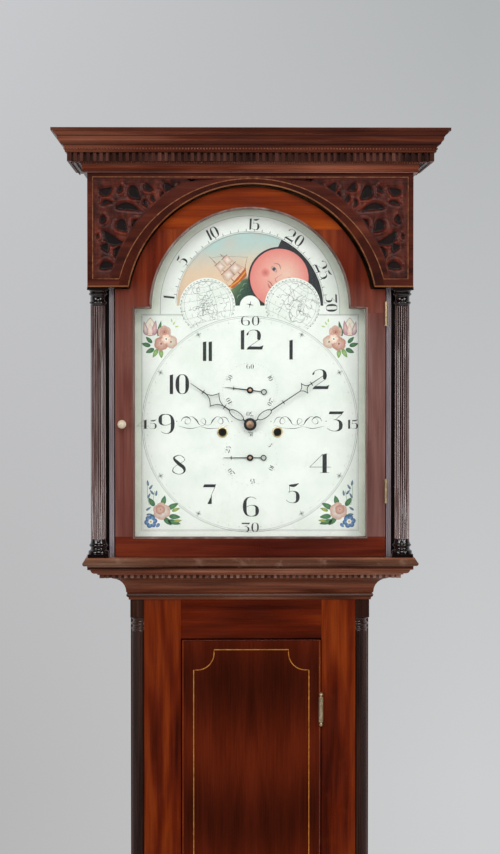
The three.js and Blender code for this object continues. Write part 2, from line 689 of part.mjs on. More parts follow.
function doorKnob() {
  const profile = [
    [0, 0], [2.6, 0], [2.2, 4], [3.2, 7], [5.6, 9.5], [6.1, 12], [4.8, 14.8], [2, 16], [0, 16.2],
  ]
  const points = profile.map(([r, z]) => new THREE.Vector2(r, z))
  const knob = new THREE.LatheGeometry(points, ROUND).rotateX(Math.PI)
  return knob.translate(KNOB_X, atDepth(HOOD_DOOR_FRONT + SEAM), KNOB_Z)
}

// ---------------------------------------------------------------- hinges
// Butt hinge on a front right edge. The fixed half has the two end knuckles and the pin,
// the moving half the middle knuckle. The axis stands at (x, depth).
function hingeZones(size, z) {
  const half = size.height / 2
  const third = size.height / 6
  return { low: z - half, midLow: z - third, midHigh: z + third, high: z + half }
}

function fixedHinge(size, x, depth, wallX, z) {
  const { low, midLow, midHigh, high } = hingeZones(size, z)
  const leafFront = depth - size.r - 0.1
  const leaf = block(wallX - LEAF, wallX, depth - size.leafDepth, leafFront, low, high)
  const tab = (z0, z1) => block(wallX - LEAF, wallX, leafFront - 1, depth, z0, z1)
  const knuckle = (z0, z1) => rod(size.r, x, depth, z0, z1, 12)
  const parts = [
    leaf, tab(low, midLow), tab(midHigh, high), knuckle(low, midLow), knuckle(midHigh, high),
    rod(size.pin, x, depth, midLow - 1, midHigh + 1, 12),
  ]
  if (size.finial) {
    const tip = [
      [0, 0], [size.r * 0.6, 0], [size.r * 0.5, size.finial * 0.25], [size.r * 0.95, size.finial * 0.5],
      [size.r * 0.7, size.finial * 0.75], [0, size.finial],
    ]
    parts.push(turned(tip.map(([r, up]) => [r, high - 0.2 + up]), x, depth, 12))
    parts.push(turned(tip.map(([r, up]) => [r, low + 0.2 - up]).reverse(), x, depth, 12))
  }
  return join(...parts)
}

function movingHinge(size, x, depth, edgeX, z) {
  const { low, midLow, midHigh, high } = hingeZones(size, z)
  const leafFront = depth - size.r - 0.1
  const leaf = block(edgeX, edgeX + LEAF, depth - size.leafDepth, leafFront, low, high)
  const tab = block(edgeX, edgeX + LEAF, leafFront - 1, depth - size.pin - 0.3, midLow + PIN_GAP, midHigh - PIN_GAP)
  const knuckle = rod(size.r, x, depth, midLow + PIN_GAP, midHigh - PIN_GAP, 12)
  const bore = rod(size.pin + PIN_GAP, x, depth, midLow - 1, midHigh + 1, 12)
  return cut(join(leaf, tab, knuckle), bore)
}

const hoodHingeX = HOOD_DOOR_HALF + 0.75
const trunkHingeX = doorRight + 0.75
function hinges(prefix, size, heights, x, depth, edge, gap) {
  heights.forEach((z, i) => {
    const place = i ? 'lower' : 'upper'
    piece(`${prefix}_hinge_${place}_fixed`, fixedHinge(size, x, depth, edge + gap - 0.05, z), BRASS())
    piece(`${prefix}_hinge_${place}_leaf`, movingHinge(size, x, depth, edge + 0.05, z), BRASS())
  })
}

// ---------------------------------------------------------------- trunk door
const trunkDoorFront = TRUNK_FRONT + TRUNK_DOOR_PROUD
function trunkDoor() {
  const back = trunkDoorFront - TRUNK_DOOR_THICK
  return block(doorLeft, doorRight, back, trunkDoorFront, TRUNK_DOOR_BOTTOM, TRUNK_DOOR_TOP)
}

const lockZ = (TRUNK_DOOR_BOTTOM + TRUNK_DOOR_TOP) / 2
function keyPlate() {
  const shape = new THREE.Shape().absellipse(doorLeft + 20, lockZ, 7, 12, 0, 2 * Math.PI)
  const hole = new THREE.Path().absellipse(doorLeft + 20, lockZ, 1.8, 4.5, 0, 2 * Math.PI)
  shape.holes.push(hole)
  return board(shape, trunkDoorFront + SEAM, trunkDoorFront + SEAM + 1.2, 8)
}

// ---------------------------------------------------------------- dial
function dialPlate() {
  const shoulder = DIAL_Z + DIAL_HALF
  const shape = archOutline(DIAL_HALF, DIAL_Z - DIAL_HALF, shoulder, 0, MOON_Z, DIAL_ARCH_R)
  const moon = new THREE.Path()
  moon.absarc(0, MOON_Z, MOON_SIGHT_R, 0, Math.PI, false)
  moon.absarc(-MOON_ORBIT, MOON_Z, HUMP_R, Math.PI, 0, true)
  moon.absarc(0, MOON_Z, MID_HUMP_R, Math.PI, 0, true)
  moon.absarc(MOON_ORBIT, MOON_Z, HUMP_R, Math.PI, 0, true)
  const hole = (x, z, r) => new THREE.Path().absarc(x, z, r, 0, 2 * Math.PI)
  shape.holes.push(moon)
  const plate = board(shape, DIAL_FRONT - DIAL_THICK, DIAL_FRONT, 14)
  const holes = [
    hole(0, DIAL_Z, HOUR_PIPE_R + 1.9), hole(0, DIAL_Z + SECONDS_UP, SMALL_ARBOR_R + 0.7),
    hole(0, DIAL_Z - DATE_DOWN, SMALL_ARBOR_R + 0.7),
    hole(-WINDING_X, DIAL_Z - WINDING_DOWN, WINDING_HOLE_R), hole(WINDING_X, DIAL_Z - WINDING_DOWN, WINDING_HOLE_R),
  ].map((path) => board(new THREE.Shape(path.getPoints(4)), DIAL_FRONT - 5, DIAL_FRONT + 5))
  const footMiddle = DIAL_Z - 18
  const feet = [[-1, -1], [1, -1], [-1, 1], [1, 1]].map(([sx, sz]) =>
    arbor(POST_R, FRONT_PLATE + SEAM, DIAL_FRONT - 1, sx * (PLATE_HALF - 8), footMiddle + sz * 40, 8))
  return join(cut(plate, ...holes), ...feet)
}

function moonDisc() {
  const disc = arbor(MOON_DISC_R, MOON_DISC_FRONT - 1.5, MOON_DISC_FRONT, 0, MOON_Z, 48)
  return join(disc, arbor(3, MOON_DISC_FRONT, DIAL_FRONT - DIAL_THICK - SLIP, 0, MOON_Z, 8))
}

// ---------------------------------------------------------------- hands
// Blade in the dial's plane, built pointing up at the pivot and turned to its angle.
function hand(shape, front, pivotZ, angle, extras = []) {
  const blade = board(shape, front - HAND_THICK, front, 6)
  const turnedBlade = join(blade, ...extras)
  return turnedBlade.rotateY(rad(angle)).translate(0, 0, pivotZ)
}

// Long hand: round boss, oval loop, slim neck, diamond loop and point.
function looped(length, { boss, loopAt, loopHalf, kiteAt, kiteHalf }) {
  const shape = new THREE.Shape()
  shape.absarc(0, 0, boss, rad(110), rad(430), false)
  const right = [
    [2, loopAt - loopHalf * 2], [loopHalf, loopAt], [1.6, loopAt + loopHalf * 2],
    [1.6, kiteAt - kiteHalf * 1.6], [kiteHalf, kiteAt], [1.2, kiteAt + kiteHalf * 1.8], [0.4, length],
  ]
  right.forEach(([x, y]) => shape.lineTo(x, y))
  right.reverse().forEach(([x, y]) => shape.lineTo(-x, y))
  const gap = (x, y, half, ratio) => new THREE.Path([
    new THREE.Vector2(x, y - half * ratio), new THREE.Vector2(x + half, y),
    new THREE.Vector2(x, y + half * ratio), new THREE.Vector2(x - half, y),
  ])
  shape.holes.push(gap(0, loopAt, loopHalf - 2, 1.7), gap(0, kiteAt, kiteHalf - 2, 1.4))
  return shape
}

function pointer(length, tail, boss) {
  const half = 1.3
  const tip = 0.5
  return outline([
    [half, -tail], [half, -boss], [boss, 0], [half, boss], [tip, length],
    [-tip, length], [-half, boss], [-boss, 0], [-half, -boss], [-half, -tail],
  ])
}

function minuteHand() {
  const shape = looped(MINUTE_LENGTH, MINUTE_FORM)
  const wheelFront = FRONT_PLATE - PLATE_THICK - 2.7
  const extras = [
    arbor(MINUTE_ARBOR_R, BACK_PLATE + 0.5, MINUTE_FRONT + 2, 0, 0),
    arbor(CENTRE_WHEEL_R, wheelFront - WHEEL_THICK, wheelFront, 0, 0, 32),
    arbor(6, BARREL_BACK - 4, BARREL_BACK - 0.6, 0, 0),
  ]
  return hand(shape, MINUTE_FRONT, DIAL_Z, MINUTE_ANGLE, extras)
}

function hourHand() {
  const shape = looped(HOUR_LENGTH, HOUR_FORM)
  const extras = [
    arbor(HOUR_PIPE_R, FRONT_PLATE + 4, HOUR_FRONT - 0.3, 0, 0),
    arbor(HOUR_WHEEL_R, FRONT_PLATE + 5, FRONT_PLATE + 5 + WHEEL_THICK, 0, 0, 36),
  ]
  const solid = cut(join(board(shape, HOUR_FRONT - HAND_THICK, HOUR_FRONT, 6), ...extras),
    arbor(MINUTE_ARBOR_R + PIVOT_GAP, 50, 250, 0, 0))
  return solid.rotateY(rad(HOUR_ANGLE)).translate(0, 0, DIAL_Z)
}

function escapeShape() {
  const count = 30
  const points = []
  for (let i = 0; i < count; i++) {
    const angle = (i / count) * 2 * Math.PI
    points.push([ESCAPE_R * Math.cos(angle), ESCAPE_R * Math.sin(angle)])
    const foot = angle + (1.4 * Math.PI) / count
    points.push([(ESCAPE_R - 4) * Math.cos(foot), (ESCAPE_R - 4) * Math.sin(foot)])
  }
  return outline(points)
}

const escapeDepth = 130
function secondsHand() {
  const extras = [
    arbor(SMALL_ARBOR_R, BACK_PLATE + 0.5, SMALL_HAND_FRONT + 1, 0, 0, 8),
    board(escapeShape(), escapeDepth, escapeDepth + WHEEL_THICK),
  ]
  return hand(pointer(SECONDS_LENGTH, SECONDS_TAIL, SMALL_BOSS), SMALL_HAND_FRONT, DIAL_Z + SECONDS_UP, SECONDS_ANGLE, extras)
}

function dateHand() {
  const extras = [
    arbor(SMALL_ARBOR_R, DIAL_FRONT - 9, SMALL_HAND_FRONT + 1, 0, 0, 8),
    arbor(DATE_WHEEL_R, DIAL_FRONT - 8, DIAL_FRONT - 8 + WHEEL_THICK, 0, 0, 31),
  ]
  return hand(pointer(DATE_LENGTH, DATE_TAIL, SMALL_BOSS), SMALL_HAND_FRONT, DIAL_Z - DATE_DOWN, DATE_ANGLE, extras)
}

// ---------------------------------------------------------------- movement
const barrelZ = DIAL_Z - WINDING_DOWN
function movementFrame() {
  const plate = (depth) => block(-PLATE_HALF, PLATE_HALF, depth, depth + PLATE_THICK, SEAT_TOP + SEAM, PLATE_TOP)
  const pillars = [[-1, 0], [1, 0], [-1, 1], [1, 1]].map(([sign, up]) =>
    arbor(POST_R, BACK_PLATE + 1, FRONT_PLATE - 1, sign * (up ? UPPER_PILLAR_X : LOWER_PILLAR_X),
      up ? PLATE_TOP - 8 : SEAT_TOP + 10, 8))
  const pivot = (r, x, z) => arbor(r + PIVOT_GAP, BACK_PLATE - 5, FRONT_PLATE + 5, x, z)
  return join(
    cut(
      join(plate(BACK_PLATE), plate(FRONT_PLATE - PLATE_THICK)),
      pivot(MINUTE_ARBOR_R, 0, DIAL_Z), pivot(SMALL_ARBOR_R, 0, DIAL_Z + SECONDS_UP), pivot(ANCHOR_ARBOR_R, 0, ANCHOR_Z),
      pivot(BARREL_ARBOR_R, -WINDING_X, barrelZ), pivot(BARREL_ARBOR_R, WINDING_X, barrelZ),
      pivot(HAMMER_ARBOR_R, HAMMER_X, HAMMER_Z),
    ),
    ...pillars,
  )
}

function barrel(sign) {
  const x = sign * WINDING_X
  const drum = arbor(BARREL_R, BARREL_BACK, BARREL_BACK + BARREL_LENGTH, x, barrelZ, 24)
  const wheel = arbor(GREAT_WHEEL_R, BARREL_BACK - 3.6, BARREL_BACK - 1, x, barrelZ, 36)
  const hub = arbor(8, BARREL_BACK - 2, BARREL_BACK + 1, x, barrelZ)
  const shaft = arbor(BARREL_ARBOR_R, BACK_PLATE + 0.5, DIAL_FRONT - 3, x, barrelZ)
  return join(drum, wheel, hub, shaft)
}

// Recoil anchor over the escape wheel, its arbor, and the crutch behind the back plate.
const crutchDepth = PENDULUM_DEPTH + 8
function anchor() {
  const reach = ESCAPE_R * 0.8
  const up = ANCHOR_Z - (DIAL_Z + SECONDS_UP)
  const tip = (sign) => [sign * (reach + 1.5), -up + ESCAPE_R * 0.75 + 1.4]
  const shape = outline([
    tip(-1), [-reach - 5, -up + ESCAPE_R + 2], [-5, 6], [5, 6], [reach + 5, -up + ESCAPE_R + 2], tip(1),
    [reach, -up + ESCAPE_R + 3], [3, -5], [-3, -5], [-reach, -up + ESCAPE_R + 3],
  ])
  const fork = (sign) => block(sign * 1.6, sign * 4.2, PENDULUM_DEPTH - 5, crutchDepth, -CRUTCH_LENGTH, 4 - CRUTCH_LENGTH)
  return join(
    board(shape, escapeDepth - 1, escapeDepth + 2.5),
    arbor(ANCHOR_ARBOR_R, crutchDepth - 1, FRONT_PLATE - 0.5, 0, 0, 8),
    block(-1.5, 1.5, crutchDepth - 1, crutchDepth + 1, 2 - CRUTCH_LENGTH, 0),
    block(-4.2, 4.2, crutchDepth - 1, crutchDepth + 1, -CRUTCH_LENGTH, 4 - CRUTCH_LENGTH),
    fork(-1), fork(1),
  ).translate(0, 0, ANCHOR_Z)
}

// Cock on the back plate that carries the pendulum's spring.
function backCock() {
  const z = ANCHOR_Z
  const arm = (sign) =>
    block(sign * 14, sign * 20, PENDULUM_DEPTH - 5, BACK_PLATE - SEAM, z + 2, z + 14)
  const bridge = block(-20, 20, PENDULUM_DEPTH - 5, PENDULUM_DEPTH + 5, z + 8, z + 14)
  const slot = block(-SPRING_SLOT, SPRING_SLOT, PENDULUM_DEPTH - 1, PENDULUM_DEPTH + 1, z, z + 20)
  return cut(join(arm(-1), arm(1), bridge), slot)
}

function pendulum() {
  const bobZ = ANCHOR_Z - PENDULUM_LENGTH
  const lens = [
    [0, -BOB_HALF_THICK], [BOB_R * 0.55, -BOB_HALF_THICK * 0.8], [BOB_R * 0.85, -BOB_HALF_THICK * 0.4],
    [BOB_R, -0.8], [BOB_R, 0.8], [BOB_R * 0.85, BOB_HALF_THICK * 0.4], [BOB_R * 0.55, BOB_HALF_THICK * 0.8],
    [0, BOB_HALF_THICK],
  ].map(([r, d]) => new THREE.Vector2(r, d))
  const bob = new THREE.LatheGeometry(lens, 28).translate(0, atDepth(PENDULUM_DEPTH), bobZ)
  return join(
    block(-SPRING_HALF, SPRING_HALF, PENDULUM_DEPTH - 0.4, PENDULUM_DEPTH + 0.4, ANCHOR_Z - 30, ANCHOR_Z + 16),
    block(-7, 7, PENDULUM_DEPTH - 2, PENDULUM_DEPTH + 2, ANCHOR_Z + 14.5, ANCHOR_Z + 18),
    block(-1.2, 1.2, PENDULUM_DEPTH - 2.6, PENDULUM_DEPTH + 2.6, ANCHOR_Z - 160, ANCHOR_Z - 28),
    rod(2.4, 0, PENDULUM_DEPTH, bobZ - BOB_R - 24, ANCHOR_Z - 158, 8),
    bob,
    turned([[0, -9], [6.5, -9], [7, -4], [5, 0], [0, 0]].map(([r, z]) => [r, bobZ - BOB_R - 8 + z]), 0, PENDULUM_DEPTH),
  )
}

function bell() {
  const dome = [
    [0, 38], [16, 36], [32, 29], [43, 18], [48, 6], [BELL_R, 0], [BELL_R - 2.5, 0], [45.5, 6], [41, 16.5],
    [30.5, 27], [15, 33.5], [0, 35.5],
  ].reverse().map(([r, up]) => [r, BELL_Z + up])
  const standTop = BELL_Z + 60
  const back = BACK_PLATE - SEAM
  return join(
    turned(dome, 0, BELL_DEPTH, 24),
    rod(3, 0, BELL_DEPTH, BELL_Z + 36, standTop + 1),
    block(-7, 44, back - 3.5, BELL_DEPTH + 7, standTop, standTop + 3),
    block(34, 44, back - 3.5, back, PLATE_TOP - 50, standTop + 2),
  )
}

function hammer() {
  const head = block(-6, 2, BELL_DEPTH - 5, BELL_DEPTH + 5, BELL_Z - HAMMER_Z - 6, BELL_Z - HAMMER_Z + 8)
  return join(
    arbor(HAMMER_ARBOR_R, BACK_PLATE + 0.5, FRONT_PLATE - 0.5, 0, 0, 8),
    block(-1.5, 1.5, BELL_DEPTH - 1.5, BELL_DEPTH + 1.5, 0, BELL_Z - HAMMER_Z),
    head,
  ).translate(HAMMER_X, 0, HAMMER_Z)
}

// ---------------------------------------------------------------- weights and lines
const pulleyGap = 0.6
const weightX = strandOut + PULLEY_R + LINE_R + pulleyGap
function weight(sign) {
  const x = sign * weightX
  const foot = WEIGHT_TOP - WEIGHT_LENGTH
  const body = turned([
    [0, foot], [WEIGHT_R - 2, foot], [WEIGHT_R, foot + 2], [WEIGHT_R, WEIGHT_TOP - 8],
    [WEIGHT_R - 7, WEIGHT_TOP], [0, WEIGHT_TOP],
  ], x, lineDepth, 20)
  const strap = (depth) => block(x - 3, x + 3, depth - 0.8, depth + 0.8, WEIGHT_TOP + 14, PULLEY_Z + 4)
  return join(
    body,
    rod(2.2, x, lineDepth, WEIGHT_TOP - 1, WEIGHT_TOP + 16),
    block(x - 3, x + 3, lineDepth - 6, lineDepth + 6, WEIGHT_TOP + 13, WEIGHT_TOP + 16),
    strap(lineDepth - 5.2), strap(lineDepth + 5.2),
    arbor(2, lineDepth - 6, lineDepth + 6, x, PULLEY_Z),
    arbor(PULLEY_R, lineDepth - 2.6, lineDepth + 2.6, x, PULLEY_Z, 24),
  )
}

// Gut line under the pulley, both ends at the seatboard's underside.
function line(sign) {
  const r = PULLEY_R + LINE_R + pulleyGap
  const top = SEAT_TOP - SEAT_THICK - PIVOT_GAP
  const y = atDepth(lineDepth)
  const path = new THREE.CurvePath()
  const at = (x, z) => new THREE.Vector3(sign * (weightX + x), y, z)
  path.add(new THREE.LineCurve3(at(-r, top), at(-r, PULLEY_Z)))
  for (let i = 0; i < 8; i++) {
    const from = Math.PI + (Math.PI * i) / 8
    const to = Math.PI + (Math.PI * (i + 1)) / 8
    path.add(new THREE.LineCurve3(
      at(r * Math.cos(from), PULLEY_Z + r * Math.sin(from)), at(r * Math.cos(to), PULLEY_Z + r * Math.sin(to))))
  }
  path.add(new THREE.LineCurve3(at(r, PULLEY_Z), at(r, top)))
  const section = new THREE.Shape().absarc(0, 0, LINE_R, 0, 2 * Math.PI)
  return new THREE.ExtrudeGeometry(section, { steps: 24, curveSegments: 3, bevelEnabled: false, extrudePath: path })
}

// ---------------------------------------------------------------- assembly
piece('backboard', backboard(), PINE())
pair('trunk_side', trunkSide, MAHOGANY)
pair('trunk_stile', trunkStile, MAHOGANY)
piece('trunk_top_rail', trunkRail(TRUNK_DOOR_TOP + DOOR_GAP, THROAT_TOP), MAHOGANY())
piece('trunk_bottom_rail', trunkRail(BASE_TOP + SEAM, TRUNK_DOOR_BOTTOM - DOOR_GAP), MAHOGANY())
pair('quarter_column', quarterColumn, DARK_MAHOGANY)
piece('throat_moulding', throatMoulding(), MAHOGANY())
piece('throat_dentils', throatDentils(), DARK_MAHOGANY())
piece('waist_moulding', waistMoulding(), MAHOGANY())
piece('base_front', baseFront(), MAHOGANY())
pair('base_side', baseSide, MAHOGANY)
piece('plinth', plinth(), MAHOGANY())
piece('seatboard', seatboard(), PINE())

piece('trunk_door', trunkDoor(), MAHOGANY())
piece('trunk_key_plate', keyPlate(), BRASS())
hinges('trunk', TRUNK_HINGE, TRUNK_HINGE_Z, trunkHingeX, TRUNK_HINGE_DEPTH, doorRight, DOOR_GAP)

piece('hood_cornice', cornice(), MAHOGANY())
piece('hood_dentils', hoodDentils(), DARK_MAHOGANY())
piece('hood_frieze', frieze(), MAHOGANY())
pair('hood_side', hoodSide, MAHOGANY)
piece('hood_top_board', topBoard(), PINE())
piece('hood_base', hoodBase(), MAHOGANY())
pair('hood_stile', hoodStile, DARK_MAHOGANY)
pair('hood_column', hoodColumn, DARK_MAHOGANY)
piece('dial_mask', dialMask(), PINE())

piece('hood_door', hoodDoor(), MAHOGANY())
piece('hood_glass', hoodGlass(), GLASS())
piece('door_knob', doorKnob(), BONE())
hinges('hood', HOOD_HINGE, HOOD_HINGE_Z, hoodHingeX, HOOD_HINGE_DEPTH, HOOD_DOOR_HALF, DOOR_GAP)

piece('dial_plate', dialPlate(), PAINT())
piece('moon_disc', moonDisc(), PAINT())
piece('minute_hand', minuteHand(), STEEL())
piece('hour_hand', hourHand(), STEEL())
piece('seconds_hand', secondsHand(), STEEL())
piece('date_hand', dateHand(), STEEL())

piece('movement_frame', movementFrame(), BRASS())
piece('strike_barrel', barrel(-1), BRASS())
piece('going_barrel', barrel(1), BRASS())
piece('anchor', anchor(), STEEL())
piece('back_cock', backCock(), BRASS())
piece('pendulum', pendulum(), BRASS())
piece('bell', bell(), BRASS())
piece('hammer', hammer(), STEEL())
piece('strike_weight', weight(-1), IRON())
piece('going_weight', weight(1), IRON())
piece('strike_line', line(-1), GUT())
piece('going_line', line(1), GUT())

export default clock
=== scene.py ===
"""Longcase clock: the finish of every piece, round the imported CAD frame.

Millimetres in every measure below, in the frame's own axes: +X right, -Y the front, +Z up. Form.piece() turns
them into metres. Sizes come from the frame's nodes where a node has them.
"""
import math
import random

import bpy
import bmesh
import numpy as np
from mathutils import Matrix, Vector
from mathutils.geometry import tessellate_polygon


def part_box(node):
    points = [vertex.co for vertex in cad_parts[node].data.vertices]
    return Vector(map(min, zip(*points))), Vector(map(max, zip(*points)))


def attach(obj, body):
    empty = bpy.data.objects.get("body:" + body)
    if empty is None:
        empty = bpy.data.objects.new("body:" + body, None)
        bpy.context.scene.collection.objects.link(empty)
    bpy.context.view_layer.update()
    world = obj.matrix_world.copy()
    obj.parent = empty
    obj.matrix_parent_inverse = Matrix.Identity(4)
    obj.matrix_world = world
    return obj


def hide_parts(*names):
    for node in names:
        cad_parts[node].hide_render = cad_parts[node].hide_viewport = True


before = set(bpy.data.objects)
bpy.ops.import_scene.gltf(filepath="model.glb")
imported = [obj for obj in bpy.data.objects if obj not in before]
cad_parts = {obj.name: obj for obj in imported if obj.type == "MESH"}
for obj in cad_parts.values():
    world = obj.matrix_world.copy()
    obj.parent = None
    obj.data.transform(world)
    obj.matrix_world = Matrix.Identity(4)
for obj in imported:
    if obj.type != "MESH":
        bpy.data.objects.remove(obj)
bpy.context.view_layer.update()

MM = 0.001


# ---------------------------------------------------------------- sizes read from the frame
class Span:
    """A CAD node's box, in millimetres. y0 is its front."""

    def __init__(self, node):
        low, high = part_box(node)
        self.x0, self.y0, self.z0 = (value / MM for value in low)
        self.x1, self.y1, self.z1 = (value / MM for value in high)
        self.x = (self.x0 + self.x1) / 2
        self.y = (self.y0 + self.y1) / 2
        self.z = (self.z0 + self.z1) / 2


DIAL = Span("dial_plate")
DOOR = Span("hood_door")
FRIEZE = Span("hood_frieze")
TRUNK_DOOR = Span("trunk_door")
BASE = Span("base_front")

DIAL_HALF = DIAL.x1
DIAL_Z = DIAL.z0 + DIAL_HALF  # height of the hands' pivot
DIAL_FACE = DIAL.y0
MOON_Z = Span("moon_disc").z
ARCH_Z = Span("hood_glass").z1 - 138.6  # centre of the arched sight
SIGHT_HALF, SIGHT_R = 158, 135
SIGHT_BOTTOM = DOOR.z0 + 27.5
SIGHT_SHOULDER = FRIEZE.z0 - 29
FRIEZE_ARCH_X, FRIEZE_ARCH_Z, FRIEZE_ARCH_R = 1.5, FRIEZE.z0 - 30, 170

# The dial's drawing.
HOUR_HEIGHT = 27.2
HOUR_SPOTS = {  # centre of each hour's numeral from the pivot
    1: (56.6, 102.8), 2: (97.3, 62), 3: (118, 4), 4: (96.5, -53.8), 5: (60.5, -95.2), 6: (1, -113.9),
    7: (-56.2, -96.6), 8: (-98, -55.9), 9: (-115, 0.5), 10: (-97.3, 55.2), 11: (-58.7, 100.7),
    12: (2.5, 116.6)}
MINUTE_R, MINUTE_HEIGHT = 142.5, 12.6
CHAPTER_R = 149
SECONDS_Z, DATE_Z, SMALL_DIAL_R = DIAL_Z + 46.9, DIAL_Z - 46.3, 30.5
LUNAR_IN, LUNAR_OUT, LUNAR_TEXT_R = 102.2, 123.5, 112.3
LUNAR_FIGURES = {"1": -84, "5": -56.5, "10": -27, "15": 3.2, "20": 33.5, "25": 64, "30": 88}
LUNAR_DAY = 6.05
HUMP_X, HUMP_R = 58.7, 38.5
BORDER, BORDER_TOP, BORDER_FOOT = 149.5, 151.4, 147.3

# The moon's disc: its face, its two moons and the bands of night between its scenes, as clock angles.
DISC_FACE = Span("moon_disc").y0
DISC_R = 111.5
MOON_ANGLE, MOON_REACH, MOON_R = 46.7, 55.5, 40.4
SCENE_ANGLE = MOON_ANGLE - 90
NIGHT_START, NIGHT_END = 25.5, 76.0


# ---------------------------------------------------------------- meshes
def smooth_line(points, steps=8, closed=False):
    """Points of a Catmull-Rom curve through the given ones; each may have any number of values."""
    count = len(points)
    spans = count if closed else count - 1
    made = []
    for i in range(spans):
        if closed:
            near = [(i + k) % count for k in (-1, 0, 1, 2)]
        else:
            near = [min(max(i + k, 0), count - 1) for k in (-1, 0, 1, 2)]
        a, b, c, d = (points[k] for k in near)
        for step in range(steps):
            t = step / steps
            made.append(tuple(
                0.5 * (2 * q + (r - p) * t + (2 * p - 5 * q + 4 * r - s) * t * t
                       + (3 * q - p - 3 * r + s) * t ** 3)
                for p, q, r, s in zip(a, b, c, d)))
    if not closed:
        made.append(tuple(points[-1]))
    return made


def arc(cx, cz, r, start, end, steps=16, rz=None):
    """Points on a circle, or on an ellipse of upright radius rz; degrees run anticlockwise from +X."""
    rz = r if rz is None else rz
    angles = [math.radians(start + (end - start) * i / steps) for i in range(steps + 1)]
    return [(cx + r * math.cos(a), cz + rz * math.sin(a)) for a in angles]


def turn(points, degrees, cx=0.0, cz=0.0):
    """The points turned clockwise as seen from the front, about the origin, then moved."""
    c, s = math.cos(math.radians(degrees)), math.sin(math.radians(degrees))
    return [(cx + x * c + z * s, cz - x * s + z * c, *rest) for x, z, *rest in points]


